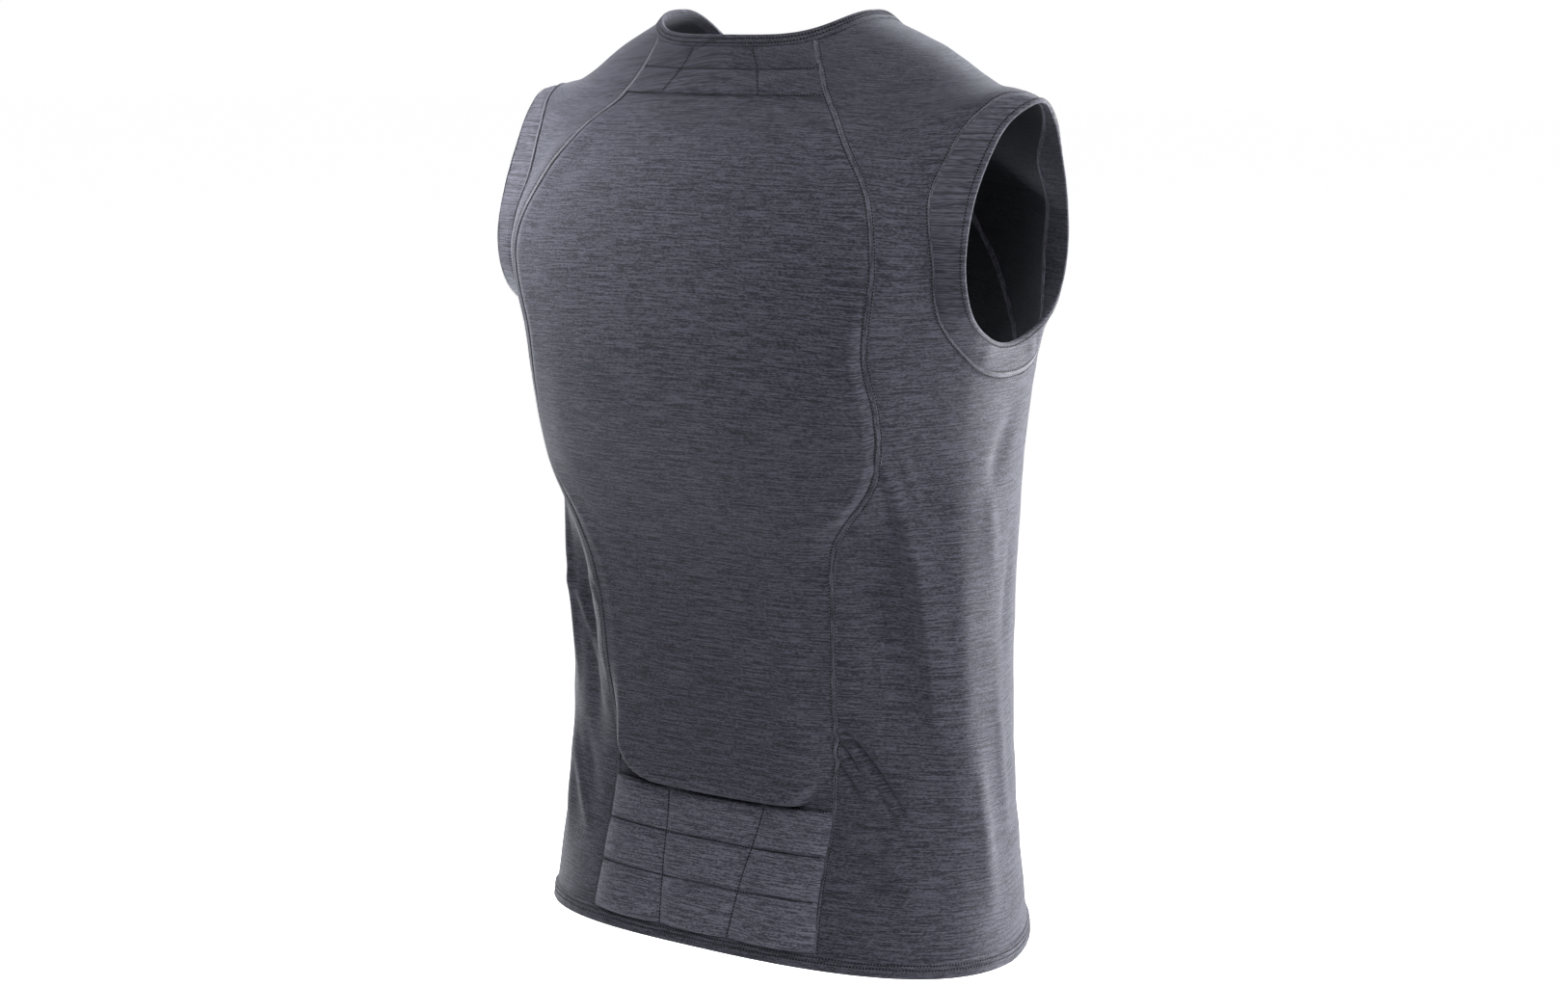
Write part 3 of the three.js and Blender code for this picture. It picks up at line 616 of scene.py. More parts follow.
def protector_rise(share, ring):
    """How far the protector lifts the outer face, and how far its lower lip hangs over."""
    left = seam_angle("back", 1, ring)
    right = math.pi - seam_angle("back", -1, ring)
    here = figure(mix(left, right, share), ring)
    seam = figure(np.where(share < 0.5, left, right), ring)
    pad_top = figure(math.pi / 2, PAD_TOP)[2]
    yoke_line = figure(math.pi / 2, YOKE_LINE)[2]
    from_seam = np.hypot(here[..., 0] - seam[..., 0], here[..., 1] - seam[..., 1]) - SEAM_FLAT
    leftwards = 1 - 2 * share
    aside = np.abs(leftwards)
    left_corner = LEFT_CORNER["height"] * aside ** LEFT_CORNER["power"]
    right_corner = RIGHT_CORNER["height"] * aside ** RIGHT_CORNER["power"]
    corner = np.where(leftwards > 0, left_corner, right_corner) * MM
    from_pad = here[..., 2] - pad_top - PAD_FLAT - corner
    from_yoke = yoke_line - here[..., 2]
    foot = np.where(leftwards > 0, FOOT_EDGE["left"], FOOT_EDGE["right"])
    edge = PROTECTOR_EDGE * mix(foot, 1, soften((ring - FOOT_EDGE["up_to"]) / FOOT_EDGE["over"]))
    at_right = soften((-leftwards - RIGHT_CORNER["from"]) / RIGHT_CORNER["over"])
    lower_edge = mix(LOWER_EDGE["width"], LOWER_EDGE["right_width"], at_right) * MM
    height = PROTECTOR_RISE - seam_lift(mix(left, right, share), ring)
    side = np.sqrt(soften(from_seam / edge))
    rise = height * side * soften(from_pad / lower_edge) * soften(from_yoke / YOKE_FADE)
    hang = soften(from_pad / LIP["foot"]) * soften((LIP["top"] - from_pad) / LIP["fade"])
    lip = LIP["hang"] * hang * soften((LIP["end"] - aside) / LIP["end_fade"]) * (1 - at_right)
    return rise, lip


def locate_back(share, ring, outer):
    angle = back_angle(share, ring)
    inner = worn(angle, ring)
    normal = normals_of(worn, angle, ring)
    rise, lip = protector_rise(share, ring)
    wave = BACK_WAVE * wander(angle, ring, 11) * soften(rise / (4 * MM))
    lift = np.where(outer, CLOTH + rise + wave, 0)
    points = inner + normal * lift[:, None]
    points[:, 2] -= np.where(outer, lip, 0)
    return points, cloth_map(angle, ring)


def wide_rows(low, high, up, across, crowd=0.0):
    """Rows of places as shares of the width and rings. crowd, up to 1, draws the columns to both edges."""
    even = np.linspace(0, 1, across + 1)
    shares = mix(even, 0.5 - 0.5 * np.cos(math.pi * even), crowd)
    return rows_between(low, high, up, lambda ring: np.stack([shares, np.full(across + 1, ring)], -1))


back_panel = cut_flat("back_panel_cloth", wide_rows(PAD_TOP, YOKE_LINE, 270, 132, crowd=0.75))
put_on(back_panel, locate_back)
dress(back_panel, PANEL_JERSEY, "panel_cloth", "back_panel")


# Quilted pads
# The yoke above the protector and the lumbar pad below it: jersey over thin foam, sewn down along straight
# lines into soft cells. The lumbar pad has three rows of three cells, and the yoke two rows of three.
# The lumbar pad's jersey is painted paler than the panels' as painted light, for the light from above that
# falls on its upturned cells.
LIT_PAD_DARK = (0.036, 0.0355, 0.052, 1)
LIT_PAD_LIGHT = (0.146, 0.145, 0.19, 1)
LIT_PAD_JERSEY = cloth_material("lit_pad_jersey", LIT_PAD_DARK, LIT_PAD_LIGHT, inside_shade_share=PAINTED_INSIDE_SHADE_SHARE)
PAD_WRINKLE = 0.5 * MM
LIP_RINGS = 0.3
PADS = [
    {"name": "lumbar_pad", "rows": [HEM_SEAM - TUCK, 0.86, 1.43, PAD_TOP],
     "bottom": [0, 0.35, 0.65, 1], "top": [0, 0.28, 0.72, 1], "rise": 6, "lip": 3,
     "edges": (4.5, 1.9), "up": 100, "across": 150, "cloth": LIT_PAD_JERSEY},
    {"name": "upper_back_pad", "rows": [YOKE_LINE, 12.9, NECK_SEAM + TUCK],
     "bottom": [0, 0.22, 0.7, 1], "top": [0, 0.3, 0.67, 1], "rise": 1.5, "lip": 0,
     "edges": (2.6, 2.2), "up": 56, "across": 110, "cloth": PANEL_JERSEY},
]


def pillow(lines, place, edge):
    """The height of the cell that holds each place, from 0 on its lines to 1 in its middle."""
    height = np.zeros(np.broadcast(place, lines[0]).shape)
    for low, high in zip(lines, lines[1:]):
        t = (place - low) / (high - low)
        inside = (t >= 0) & (t <= 1)
        t = np.clip(t, 0, 1)
        height = np.where(inside, np.sqrt(1 - np.abs(2 * t - 1) ** edge), height)
    return height


def pad_lines(pad, ring):
    up = (ring - pad["rows"][0]) / (pad["rows"][-1] - pad["rows"][0])
    return [mix(low, high, up) for low, high in zip(pad["bottom"], pad["top"])]


def locate_pad(pad):
    def locate(share, ring, outer):
        angle = back_angle(share, ring)
        row_edge, column_edge = pad["edges"]
        cell = pillow(pad["rows"], ring, row_edge) * pillow(pad_lines(pad, ring), share, column_edge)
        wrinkle = PAD_WRINKLE * wander(angle, ring, 23) * soften(cell)
        lift = np.where(outer, CLOTH + pad["rise"] * MM * cell + wrinkle, 0)
        points = worn(angle, ring) + normals_of(worn, angle, ring) * lift[:, None]
        hang = pad["lip"] * MM * cell * soften((pad["rows"][0] + LIP_RINGS - ring) / LIP_RINGS)
        points[:, 2] -= np.where(outer, hang, 0)
        return points, cloth_map(angle, ring)

    return locate


for pad in PADS:
    places = wide_rows(pad["rows"][0], pad["rows"][-1], pad["up"], pad["across"])
    piece = cut_flat(f"{pad['name']}_cloth", places)
    put_on(piece, locate_pad(pad))
    dress(piece, pad["cloth"], "panel_cloth", pad["name"])


# Front panel
# One plain piece of the same jersey, sewn between the two front seams and reaching from the hem to the neck.
# It has no pad and no foam.
FRONT_WAVE = 0.3 * MM
FRONT_EDGE = 0.03


def locate_front(share, ring, outer):
    right = math.pi - seam_angle("front", -1, ring, -SEAM_GAP / 2)
    left = seam_angle("front", 1, ring, -SEAM_GAP / 2) + 2 * math.pi
    angle = mix(right, left, share)
    edge = soften(np.minimum(share, 1 - share) / FRONT_EDGE)
    lift = np.where(outer, CLOTH, 0) + FRONT_WAVE * wander(angle, ring, 31) * edge
    return worn(angle, ring) + normals_of(worn, angle, ring) * lift[:, None], cloth_map(angle, ring)


front_panel = cut_flat("front_panel_cloth", wide_rows(HEM_SEAM - TUCK, NECK_SEAM + TUCK, 160, 96))
put_on(front_panel, locate_front)
dress(front_panel, PANEL_JERSEY, "panel_cloth", "front_panel")


# Side panels
# One piece of jersey a side, from the back seam over the shoulder and under the arm to the front seam. The
# armhole is cut out of it, and there its rows of places run round the hole.
SIDE_WAVE = 0.35 * MM
SIDE_EDGE = 0.06
SIDE_FOOT = 0.4
SIDE_CROWD = 1.5
ARMHOLE_COLUMNS = "seam_y seam_z edge_x edge_y edge_z".split()
ARMHOLE = {
    "top": (12, -56, 213, 5, -60),
    "top_back": (40, -69, 206, 33, -72),
    "high_back": (62, -96, 202, 53, -96),
    "mid_back": (79, -130, 200, 70, -128),
    "back": (83, -166, 200, 78, -165),
    "low_back": (74, -204, 199, 68, -196),
    "under_back": (40, -236, 194, 38, -215),
    "under": (2, -243, 188, 2, -222),
    "under_front": (-32, -234, 190, -28, -214),
    "low_front": (-57, -205, 197, -46, -196),
    "front": (-68, -165, 202, -51, -165),
    "mid_front": (-66, -128, 203, -48, -128),
    "high_front": (-60, -97, 204, -38, -96),
    "top_front": (-27, -65, 208, -20, -72),
}
ARMHOLE_TABLE = table_of(ARMHOLE_COLUMNS, ARMHOLE)
ARMHOLE_MIDDLE = {"angle": 0, "ring": 9.4, "angle_reach": 0.6, "ring_reach": 2.1}
UNDER_ARMHOLE = 5.0
HALVINGS = 40
SIDE_ACROSS = 116
LOW_ROWS = 150
HIGH_ROWS = 130
NECK_COLUMNS = 30
PANEL_RINGS = 36


def armhole_column(key, turn):
    return through(ARMHOLE_TABLE[key], np.asarray(turn, float), closed=True)


def angle_of_depth(y, ring):
    off = y - column("side_y", ring)
    back = off > 0
    power = np.where(back, column("round_back", ring), column("round_front", ring))
    reach = np.where(back, column("back_y", ring), column("front_y", ring)) - column("side_y", ring)
    share = np.minimum(np.abs(off / reach), 1)
    return np.sign(off) * np.arctan2(share, (1 - share**power) ** (1 / power))


def armhole_seam(turn):
    """The place on the figure's side of the armhole's seam, at a turn that counts the rows of its table."""
    y, z = armhole_column("seam_y", turn), armhole_column("seam_z", turn)
    low = np.full(y.shape, UNDER_ARMHOLE)
    high = np.full(y.shape, float(NECK_SEAM))
    for _ in range(HALVINGS):
        middle = (low + high) / 2
        below = figure(angle_of_depth(y, middle), middle)[..., 2] < z * MM
        low = np.where(below, middle, low)
        high = np.where(below, high, middle)
    return angle_of_depth(y, low), low


def bearing(angle, ring):
    up = (ring - ARMHOLE_MIDDLE["ring"]) / ARMHOLE_MIDDLE["ring_reach"]
    return np.arctan2(up, (angle - ARMHOLE_MIDDLE["angle"]) / ARMHOLE_MIDDLE["angle_reach"])


def side_row(side, ring, count):
    front = seam_angle("front", side, ring, SEAM_GAP / 2)
    back = seam_angle("back", side, ring, -SEAM_GAP / 2)
    shares = 1 - (1 - np.linspace(0, 1, count + 1)) ** SIDE_CROWD
    return np.stack([mix(front, back, shares), np.full(count + 1, ring)], -1)


seam_turns = np.linspace(0, len(ARMHOLE), 2801)
seam_bearings = np.unwrap(bearing(*armhole_seam(seam_turns)))


def turn_at(wanted):
    """The turns round the armhole's seam that lie at the wanted bearings from a point inside it."""
    first, last = sorted((seam_bearings[0], seam_bearings[-1]))
    wanted = first + (wanted - first) % (last - first)
    order = np.argsort(seam_bearings)
    return np.interp(wanted, seam_bearings[order], seam_turns[order])


def locate_side(side):
    def locate(angle, ring, outer):
        placed = around(side, angle)
        drape = SIDE_WAVE * wander(placed, ring, 41 + side)
        from_front = angle - seam_angle("front", side, ring)
        from_back = seam_angle("back", side, ring) - angle
        edge = soften(np.minimum(from_front, from_back) / SIDE_EDGE)
        lift = np.where(outer, CLOTH, 0) + drape * edge * soften((ring - HEM_SEAM) / SIDE_FOOT)
        return worn(placed, ring) + normals_of(worn, placed, ring) * lift[:, None], cloth_map(placed, ring)

    return locate


upper_rings = np.linspace(UNDER_ARM, NECK_SEAM + TUCK, HIGH_ROWS + 1)
for side, name in SIDES:
    lower = rows_between(
        HEM_SEAM - TUCK, UNDER_ARM, LOW_ROWS, lambda ring: side_row(side, ring, SIDE_ACROSS)
    )
    back_edge = np.stack([seam_angle("back", side, upper_rings, -SEAM_GAP / 2), upper_rings], -1)
    front_edge = np.stack([seam_angle("front", side, upper_rings, SEAM_GAP / 2), upper_rings], -1)
    neck_row = side_row(side, upper_rings[-1], NECK_COLUMNS)
    rim = np.concatenate([lower[-1], back_edge[1:], neck_row[::-1][1:], front_edge[::-1][1:]])
    seam = np.stack(armhole_seam(turn_at(bearing(rim[:, 0], rim[:, 1]))), -1)
    middle = np.array([ARMHOLE_MIDDLE["angle"], ARMHOLE_MIDDLE["ring"]])
    reach = np.linalg.norm(figure(seam[:, 0], seam[:, 1]) - figure(*middle), axis=-1)
    seam = middle + (seam - middle) * (1 + SEAM_GAP / 2 / reach)[:, None]
    upper = np.stack([mix(rim, seam, share) for share in np.linspace(0, 1, PANEL_RINGS + 1)])
    piece = cut_flat(f"side_panel_{name}_cloth", lower, upper)
    put_on(piece, locate_side(side), turned=side < 0)
    dress(piece, PANEL_JERSEY, "panel_cloth", f"side_panel_{name}")


# Armhole bands
# A strip of jersey a side, folded in two along its middle and sewn round the armhole, where its fold stands
# away from the body. The strips, the binding and the hem are a little paler than the panels.
BAND_DARK = (0.018, 0.0178, 0.0275, 1)
BAND_LIGHT = (0.083, 0.082, 0.112, 1)
BAND_JERSEY = cloth_material("band_jersey", BAND_DARK, BAND_LIGHT)
BAND_FOLD = 2.8 * MM
BAND_SEAM = {"share": 0.2, "height": 2.3 * MM}
BAND_ROLL = {"share": 0.15, "loss": 0.9}
BAND_RIPPLE = 0.35 * MM
BAND_SHARES = np.array([0, 0.05, 0.12, 0.2, 0.3, 0.4, 0.5, 0.6, 0.7, 0.78, 0.85, 0.91, 0.95, 0.98, 1])
BAND_AROUND = 300
RING_CENTRE = 10


def ring_rows(shares, count):
    """A closed band laid out flat as a ring: its place round it is the angle, and its share the radius."""
    angle = np.linspace(0, 2 * math.pi, count + 1)
    circle = np.stack([np.cos(angle), np.sin(angle)], -1)
    return np.stack([(RING_CENTRE + share) * circle for share in shares])


def read_ring(x, y):
    return np.arctan2(y, x) % (2 * math.pi), np.hypot(x, y) - RING_CENTRE


def band_surface(side, turn, share):
    angle, ring = armhole_seam(turn)
    seam = worn(around(side, angle), ring) * [side, 1, 1]
    edge = np.stack([armhole_column(key, turn) for key in ("edge_x", "edge_y", "edge_z")], -1) * MM
    gap = SEAM_GAP / 2 / np.linalg.norm(seam - edge, axis=-1)
    return mix(seam, edge, (share + (1 - share) * gap)[..., None])


def band_normal(side, turn, share):
    angle, ring = armhole_seam(turn)
    panel = normals_of(worn, around(side, angle), ring) * [side, 1, 1]
    round_it = band_surface(side, turn + STEP, share) - band_surface(side, turn - STEP, share)
    across = band_surface(side, turn, np.zeros_like(share)) - band_surface(side, turn, np.ones_like(share))
    own = np.cross(round_it, across)
    own /= np.linalg.norm(own, axis=-1, keepdims=True)
    normal = mix(panel, own, soften(share / 0.3)[..., None])
    return normal / np.linalg.norm(normal, axis=-1, keepdims=True)


def locate_band(side):
    def locate(x, y, outer):
        angle, share = read_ring(x, y)
        turn = angle / (2 * math.pi) * len(ARMHOLE)
        share = np.clip(share, 0, 1)
        rolled = np.maximum(share - 1 + BAND_ROLL["share"], 0) / BAND_ROLL["share"]
        fold = BAND_FOLD * np.sqrt(1 - BAND_ROLL["loss"] * rolled**2)
        at_seam = mix(BAND_SEAM["height"], BAND_FOLD, share / BAND_SEAM["share"])
        fold = np.where(share < BAND_SEAM["share"], at_seam, fold)
        ripple = BAND_RIPPLE * np.sin(turn * 9.3 + 2.1 * np.sin(turn * 2.3)) * np.sin(math.pi * share)
        lift = np.where(outer, fold, 0) + ripple
        points = band_surface(side, turn, share) + band_normal(side, turn, share) * lift[:, None]
        points = points * [side, 1, 1]
        return points, points[:, 1:]

    return locate


for side, name in SIDES:
    piece = cut_flat(f"armhole_band_{name}_cloth", ring_rows(BAND_SHARES, BAND_AROUND))
    put_on(piece, locate_band(side), turned=side > 0)
    dress(piece, BAND_JERSEY, "band_cloth", f"armhole_band_{name}")


# Neck binding and hem band
# The binding is a narrow folded strip sewn round the neck opening. The hem is turned up and sewn down with
# two rows of stitches, so it is double and a little proud of the panels.
NECK_FOLD = 2.8 * MM
HEM_FOLD = 3.2 * MM
EDGE_ROLL = 0.14
EDGE_RIPPLE = 0.12 * MM
BODY_BANDS = [
    {"name": "hem_band", "low": 0, "high": HEM_SEAM, "fold": HEM_FOLD, "low_edge": 2 * MM,
     "high_edge": 0.6 * MM, "count": 520, "rows": 16, "flat": (1.02, 0.0155)},
    {"name": "neck_binding", "low": NECK_SEAM, "high": LAST_RING, "fold": NECK_FOLD, "low_edge": 2.3 * MM,
     "high_edge": 1.8 * MM, "count": 300, "rows": 14, "flat": (0.49, 0.0135)},
]


def locate_body_band(band):
    def locate(x, y, outer):
        angle, share = read_ring(x, y)
        share = np.clip(share, 0, 1)
        ring = mix(band["low"], band["high"], share)
        low = mix(band["low_edge"], band["fold"], np.sqrt(np.clip(share / EDGE_ROLL, 0, 1)))
        high = mix(band["high_edge"], band["fold"], np.sqrt(np.clip((1 - share) / EDGE_ROLL, 0, 1)))
        ripple = EDGE_RIPPLE * np.sin(angle * 61 + 3 * np.sin(angle * 7)) * np.sin(math.pi * share)
        lift = np.where(outer, np.minimum(low, high), 0) + ripple
        return worn(angle, ring) + normals_of(worn, angle, ring) * lift[:, None], cloth_map(angle, ring)

    return locate


for band in BODY_BANDS:
    shares = 0.5 - 0.5 * np.cos(np.linspace(0, math.pi, band["rows"] + 1))
    piece = cut_flat(f"{band['name']}_cloth", ring_rows(shares, band["count"]))
    put_on(piece, locate_body_band(band))
    dress(piece, BAND_JERSEY, "band_cloth", band["name"])


# Seams and stitches
# The panels are joined by flat seams: their edges lie side by side under a cover of jersey-coloured thread,
# 5 mm wide, with a row of needle holes along each edge. The hem, the neck, the armholes and the quilting are
# sewn with plain rows of the same thread. The needle holes of every row are small dark beads of painted
# shade.
COVER_DARK = (0.019, 0.0188, 0.029, 1)
COVER_LIGHT = (0.092, 0.091, 0.122, 1)
INSIDE_COVER_DARK = (0.045, 0.045, 0.062, 1)
INSIDE_COVER_LIGHT = (0.17, 0.17, 0.215, 1)
THREAD_DARK = (0.022, 0.022, 0.031, 1)
THREAD_LIGHT = (0.075, 0.075, 0.098, 1)
# Painted shade: the colours of the dark beads that stand for the shadow in the needle holes.
HOLE_SHADE_DARK = (0.002, 0.002, 0.004, 1)
HOLE_SHADE_LIGHT = (0.007, 0.007, 0.01, 1)
COVER_FINISH = {"roughness": 0.62, "sheen": 0.4, "sheen_roughness": 0.4, "sheen_tint": (0.75, 0.8, 0.88, 1)}
THREAD_FINISH = {"roughness": 0.5, "sheen": 0.3, "sheen_roughness": 0.4, "sheen_tint": (0.8, 0.84, 0.9, 1)}
HOLE_FINISH = {"roughness": 0.95}
COVER_RELIEF = 0.2 * MM
THREAD_RELIEF = 0.05 * MM
SEAM_WIDTH = 5.4 * MM
SEAM_RISE = 0.55 * MM
SEAM_SINK = 0.5 * MM
COVER_STEP = 3 * MM
SEAM_POINTS = 420
STITCH_PITCH = 2.3 * MM
STITCH_SIZE = (1.1 * MM, 0.55 * MM, 0.4 * MM)
STITCH_TILT = 0.07
HOLE_SIZE = (1.6 * MM, 1.2 * MM, 0.2 * MM)
NEEDLE_ROW = 2.05 * MM
NEEDLE_LIFT = 0.85 * SEAM_RISE
SEAM_PROFILE = [
    (-1, 0), (-0.9, 0.7), (-0.76, 0.15), (-0.6, 0.8), (-0.34, 1), (0, 0.62),
    (0.34, 1), (0.6, 0.8), (0.76, 0.15), (0.9, 0.7), (1, 0),
]


def line_on(locate, places, closed=False):
    """A line of places, each with its point, direction, normal and direction across it."""
    points, normals = locate(*places)
    if closed:
        along = np.roll(points, -1, axis=0) - np.roll(points, 1, axis=0)
    else:
        along = np.gradient(points, axis=0)
    along /= np.linalg.norm(along, axis=-1, keepdims=True)
    across = np.cross(normals, along)
    lengths = np.linalg.norm(np.diff(points, axis=0, append=points[:1] if closed else points[-1:]), axis=-1)
    distance = np.concatenate([[0], np.cumsum(lengths)])
    line = {"points": points, "along": along, "normals": normals, "across": across}
    return line | {"distance": distance, "closed": closed}


def on_line(line, distance):
    """The point, direction, normal and direction across at distances along a line."""
    rows = []
    count = len(line["points"])
    for key in ("points", "along", "normals", "across"):
        values = line[key]
        marks = line["distance"][:count]
        if line["closed"]:
            values = np.concatenate([values, values[:1]])
            marks = line["distance"]
        rows.append(np.stack([np.interp(distance, marks, values[:, i]) for i in range(3)], -1))
    return rows


def seam_places(kind, side):
    ring = np.linspace(HEM_SEAM, NECK_SEAM, SEAM_POINTS)
    return around(side, seam_angle(kind, side, ring)), ring


def on_cloth(angle, ring):
    normal = normals_of(worn, angle, ring)
    return worn(angle, ring) + normal * CLOTH, normal


def inside_cloth(angle, ring):
    return worn(angle, ring), -normals_of(worn, angle, ring)


def cover_seam(name, line):
    """The flat cover of thread over a seam, sunk a little into the cloth so that no gap shows under it."""
    length = line["distance"][-1]
    count = round(length / COVER_STEP)
    offsets, heights = np.array(SEAM_PROFILE).T
    if line["closed"]:
        piece = cut_flat(name, ring_rows(np.linspace(0, 1, len(offsets)), count))
    else:
        rows = np.stack(np.meshgrid(np.linspace(0, 1, count + 1), np.linspace(0, 1, len(offsets))), -1)
        piece = cut_flat(name, rows)

    def locate(x, y, outer):
        if line["closed"]:
            angle, share = read_ring(x, y)
            distance = angle / (2 * math.pi) * length
        else:
            distance, share = x * length, y
        step = np.rint(np.clip(share, 0, 1) * (len(offsets) - 1)).astype(int)
        point, _, normal, across = on_line(line, distance)
        offset = offsets[step] * SEAM_WIDTH / 2
        height = np.where(outer, heights[step] * SEAM_RISE, -SEAM_SINK)
        points = point + across * offset[:, None] + normal * height[:, None]
        return points, np.stack([distance, offset], -1)

    put_on(piece, locate, turned=True)
    return piece


def small_shape(add, **sizes):
    """The points and faces of a round thing a unit wide, to be stretched into a stitch or into a bead of
    painted shade for a needle hole.
    """
    bpy.ops.object.select_all(action="DESELECT")
    add(location=(0, 0, 0), **sizes)
    shape = bpy.context.object
    points = np.array([v.co for v in shape.data.vertices])
    faces = np.array([list(face.vertices) for face in shape.data.polygons])
    bpy.data.objects.remove(shape)
    return points, faces


STITCH = small_shape(bpy.ops.mesh.primitive_ico_sphere_add, subdivisions=1, radius=0.5)
HOLE = small_shape(bpy.ops.mesh.primitive_cone_add, vertices=6, radius1=0.5, depth=1, end_fill_type="TRIFAN")


def strew(name, rows, shape, size, start):
    """Small things of one size along rows, as one mesh. Each row is a line, an offset across it and a height
    over it. They lie a stitch apart, and start says how far along its first step each row begins."""
    random = np.random.default_rng(len(rows) + len(name))
    shape_points, shape_faces = shape
    points, faces, done = [], [], 0
    for line, offset, height in rows:
        count = int(line["distance"][-1] / STITCH_PITCH)
        distance = (np.arange(count) + start) * line["distance"][-1] / count
        point, along, normal, across = on_line(line, distance)
        along /= np.linalg.norm(along, axis=-1, keepdims=True)
        along += across * random.normal(0, STITCH_TILT, (count, 1))
        point = point + across * offset + normal * height
        x, y, z = (shape_points * size).T
        placed = point[:, None] + along[:, None] * x[None, :, None]
        placed = placed + across[:, None] * y[None, :, None] + normal[:, None] * z[None, :, None]
        points.append(placed.reshape(-1, 3))
        numbers = done + np.arange(count)[:, None, None] * len(shape_points) + shape_faces[None]
        faces.append(numbers.reshape(-1, 3))
        done += count * len(shape_points)
    mesh = bpy.data.meshes.new(name)
    mesh.from_pydata(np.concatenate(points).tolist(), [], np.concatenate(faces).tolist())
    piece = bpy.data.objects.new(name, mesh)
    bpy.context.scene.collection.objects.link(piece)
    bpy.ops.object.select_all(action="DESELECT")
    bpy.context.view_layer.objects.active = piece
    piece.select_set(True)
    bpy.ops.object.mode_set(mode="EDIT")
    bpy.ops.mesh.select_all(action="SELECT")
    bpy.ops.mesh.normals_make_consistent(inside=False)
    bpy.ops.object.mode_set(mode="OBJECT")
    bpy.ops.object.shade_smooth()
    return piece


def sew(name, rows, slot):
    """Rows of stitches with dark beads of painted shade between them for the needle's holes."""
    dress(strew(f"{name}_stitches", rows, STITCH, STITCH_SIZE, 0.5), THREAD_MATERIAL, slot)
    dress(strew(f"{name}_holes", rows, HOLE, HOLE_SIZE, 0), HOLE_SHADE_MATERIAL, slot)


def speckled_material(name, finish, specks, dark, light, relief=0):
    """Thread or the shadow in a needle hole, each a little paler in places."""
    material, tree, shader = new_material(name, **finish)
    noise = tree.nodes.new("ShaderNodeTexNoise")
    noise.inputs["Scale"].default_value = specks
    tree.links.new(tree.nodes.new("ShaderNodeTexCoord").outputs["Object"], noise.inputs["Vector"])
    tree.links.new(mix_colours(tree, noise.outputs[0], dark, light), shader.inputs["Base Color"])
    if relief:
        bump_to(tree, shader, noise.outputs[0], relief)
    return material


def seam_material(name, dark, light):
    """The cover of a flat seam, looped from thread that shows a little paler than the jersey."""
    material, tree, shader = new_material(name, **COVER_FINISH)
    seam_map = tree.nodes.new("ShaderNodeUVMap").outputs[0]
    heather = place_group(tree, HEATHER, Map=seam_map, Dark=dark, Light=light)
    tree.links.new(heather.outputs["Color"], shader.inputs["Base Color"])
    bump_to(tree, shader, heather.outputs["Height"], COVER_RELIEF)
    return material


HOLE_SHADE_MATERIAL = speckled_material("needle_hole_shade", HOLE_FINISH, 300, HOLE_SHADE_DARK, HOLE_SHADE_LIGHT)
THREAD_MATERIAL = speckled_material("thread", THREAD_FINISH, 900, THREAD_DARK, THREAD_LIGHT, THREAD_RELIEF)
SEAM_COVER = seam_material("flat_seam", COVER_DARK, COVER_LIGHT)
INSIDE_COVER = seam_material("flat_seam_inside", INSIDE_COVER_DARK, INSIDE_COVER_LIGHT)


def needle_rows(line):
    """The two rows of stitches along the cover of a seam, with beads of painted shade for their needle
    holes.
    """
    return [(line, row * NEEDLE_ROW, NEEDLE_LIFT) for row in (-1, 1)]


long_rows = []
for side, name in SIDES:
    for kind in ("back", "front"):
        line = line_on(on_cloth, seam_places(kind, side))
        dress(cover_seam(f"{kind}_seam_{name}", line), SEAM_COVER, "panel_cloth")
        long_rows += needle_rows(line)
    inside = cover_seam(f"front_seam_inside_{name}", line_on(inside_cloth, seam_places("front", side)))
    dress(inside, INSIDE_COVER, "panel_cloth")
sew("long_seam", long_rows, "panel_cloth")


ARMHOLE_COVER_LIFT = CLOTH + 0.4 * MM
BAND_STITCHES = 0.86
FOLD_STITCH_LIFT = 0.3 * MM


def on_armhole(side, lift, outwards=1):
    def locate(turn):
        angle, ring = armhole_seam(turn)
        placed = around(side, angle)
        normal = normals_of(worn, placed, ring)
        return worn(placed, ring) + normal * lift, normal * outwards

    return locate


def on_band(side):
    def locate(turn):
        share = np.full(turn.shape, BAND_STITCHES)
        normal = band_normal(side, turn, share)
        points = band_surface(side, turn, share) + normal * BAND_FOLD
        return points * [side, 1, 1], normal * [side, 1, 1]

    return locate


armhole_rows = []
turns = np.linspace(0, len(ARMHOLE), 561)[:-1]
for side, name in SIDES:
    line = line_on(on_armhole(side, ARMHOLE_COVER_LIFT), [turns], closed=True)
    dress(cover_seam(f"armhole_seam_{name}", line), SEAM_COVER, "band_cloth")
    inner_line = line_on(on_armhole(side, 0, outwards=-1), [turns], closed=True)
    dress(cover_seam(f"armhole_seam_inside_{name}", inner_line), INSIDE_COVER, "band_cloth")
    armhole_rows += needle_rows(line)
    armhole_rows.append((line_on(on_band(side), [turns], closed=True), 0, FOLD_STITCH_LIFT))
sew("armhole", armhole_rows, "band_cloth")


def round_body(ring, lift):
    """A line once round the body on a ring."""
    def locate(angle, place):
        normal = normals_of(worn, angle, place)
        return worn(angle, place) + normal * lift, normal

    angles = np.linspace(0, 2 * math.pi, 721)[:-1]
    return line_on(locate, (angles, np.full(angles.shape, ring)), closed=True)


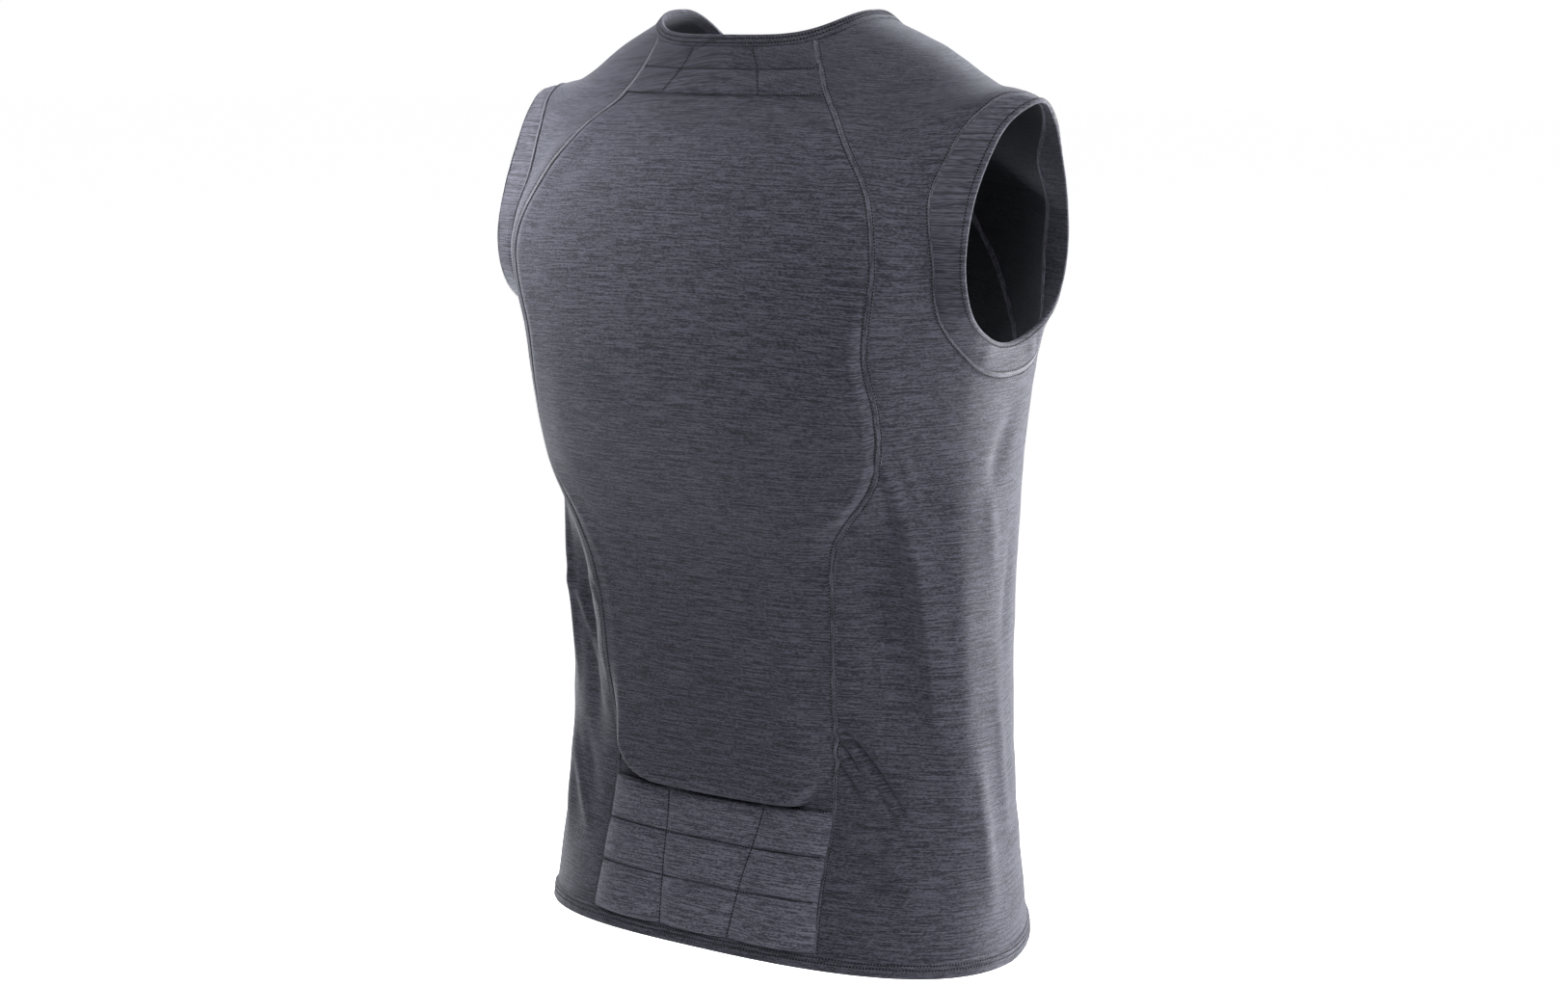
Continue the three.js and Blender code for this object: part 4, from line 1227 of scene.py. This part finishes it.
HEM_STITCH_ROWS = (0.165, 0.235)
NECK_STITCH_ROWS = (14.22, 14.55)
sew("hem", [(round_body(ring, HEM_FOLD), 0, FOLD_STITCH_LIFT) for ring in HEM_STITCH_ROWS], "band_cloth")
sew("neck", [(round_body(ring, NECK_FOLD), 0, FOLD_STITCH_LIFT) for ring in NECK_STITCH_ROWS], "band_cloth")

QUILT_LIFT = 1.3 * MM
QUILT_SIDE_GAP = 0.015
QUILT_END_GAP = 0.03


def quilt_row(share, ring):
    """A row of stitches on the back, whose places are shares of its width and rings."""
    share, ring = np.broadcast_arrays(share, ring)
    return line_on(on_cloth, (back_angle(share, ring), ring)), 0, QUILT_LIFT


quilt_rows = []
across = np.linspace(QUILT_SIDE_GAP, 1 - QUILT_SIDE_GAP, 200)
for pad in PADS:
    low, high = pad["rows"][0], pad["rows"][-1]
    upwards = np.linspace(low + QUILT_END_GAP, high - QUILT_END_GAP, 120)
    for ring in pad["rows"][1:-1]:
        quilt_rows.append(quilt_row(across, ring))
    for share_low, share_high in list(zip(pad["bottom"], pad["top"]))[1:-1]:
        share = mix(share_low, share_high, (upwards - low) / (high - low))
        quilt_rows.append(quilt_row(share, upwards))
    edge = high if pad["name"] == "lumbar_pad" else low
    quilt_rows.append(quilt_row(across, edge))
sew("quilting", quilt_rows, "panel_cloth")


# Floor and light
# A plain pale floor and background. Of the soft lights one hangs above and one over the camera, two stand on
# the left, three on the right and one before the vest, and a narrow beam falls on the left shoulder.
FLOOR_SIZE = 60
FLOOR_DROP = 0.5
FLOOR_COLOUR = (0.9, 0.9, 0.9, 1)
FLOOR_SEEN = 0.95
ROOM_FILL = 0.05
WHITE = (1, 1, 1, 1)
bpy.ops.object.select_all(action="DESELECT")
bpy.ops.mesh.primitive_plane_add(size=FLOOR_SIZE, location=(0, 0, cad_low[2] - FLOOR_DROP))
floor = bpy.context.object
floor.name = "floor"
floor_material, floor_tree, floor_shader = new_material("pale_floor", 0.9)
floor_shader.inputs["Base Color"].default_value = FLOOR_COLOUR
floor_shader.inputs["Emission Color"].default_value = WHITE
floor_path = floor_tree.nodes.new("ShaderNodeLightPath")
floor_glow = math_node(floor_tree, "MULTIPLY", floor_path.outputs["Is Camera Ray"], FLOOR_SEEN)
floor_tree.links.new(floor_glow, floor_shader.inputs["Emission Strength"])
floor.data.materials.append(floor_material)

LIGHTS = {
    "top": {"azimuth": 200, "elevation": 80, "distance": 2.4, "size": (1.6, 1.6), "power": 38},
    "key": {"azimuth": 205, "elevation": 42, "distance": 2.6, "size": (1.8, 1.4), "power": 30},
    "left_fill": {"azimuth": 160, "elevation": 35, "distance": 2.6, "size": (1.5, 1.4), "power": 1.5},
    "right_side": {"azimuth": 330, "elevation": 12, "distance": 2.0, "size": (0.6, 1.8), "power": 94},
    "right_low": {"azimuth": 285, "elevation": -10, "distance": 2.0, "size": (0.6, 1.2), "power": 28},
    "right_front": {"azimuth": 340, "elevation": 5, "distance": 2.0, "size": (0.6, 1.8), "power": 12},
    "left_side": {"azimuth": 70, "elevation": -5, "distance": 2.0, "size": (0.6, 1.4), "power": 22},
    "front": {"azimuth": 30, "elevation": 25, "distance": 2.6, "size": (1.6, 1.6), "power": 26},
}
SHOULDER_BEAM = {"azimuth": 118, "elevation": 26, "distance": 1.6, "power": 480, "spread": 10, "width": 0.12}
SHOULDER = np.array([0.2, 0.05, -0.125])


def aimed(light, target):
    """Where a light stands and how it is turned, so that it shines on the target."""
    azimuth, elevation = math.radians(light["azimuth"]), math.radians(light["elevation"])
    level = math.cos(elevation)
    way = np.array([math.sin(azimuth) * level, -math.cos(azimuth) * level, math.sin(elevation)])
    return {"location": target + light["distance"] * way, "rotation": (math.pi / 2 - elevation, 0, azimuth)}


for name, light in LIGHTS.items():
    bpy.ops.object.light_add(type="AREA", **aimed(light, VIEW_TARGET))
    lamp = bpy.context.object
    lamp.name = f"{name}_light"
    lamp.data.shape = "RECTANGLE"
    lamp.data.size, lamp.data.size_y = light["size"]
    lamp.data.energy = light["power"]

bpy.ops.object.light_add(type="SPOT", **aimed(SHOULDER_BEAM, SHOULDER))
beam = bpy.context.object
beam.name = "shoulder_beam"
beam.data.energy = SHOULDER_BEAM["power"]
beam.data.spot_size = math.radians(SHOULDER_BEAM["spread"])
beam.data.spot_blend = 1
beam.data.shadow_soft_size = SHOULDER_BEAM["width"]

world = bpy.data.worlds.new("studio")
bpy.context.scene.world = world
world.use_nodes = True
sky = world.node_tree.nodes["Background"]
sky.inputs["Color"].default_value = WHITE
path = world.node_tree.nodes.new("ShaderNodeLightPath")
strength = math_node(world.node_tree, "MULTIPLY", path.outputs["Is Camera Ray"], 1 - ROOM_FILL)
world.node_tree.links.new(math_node(world.node_tree, "ADD", strength, ROOM_FILL), sky.inputs["Strength"])
bpy.context.scene.view_settings.view_transform = "Standard"
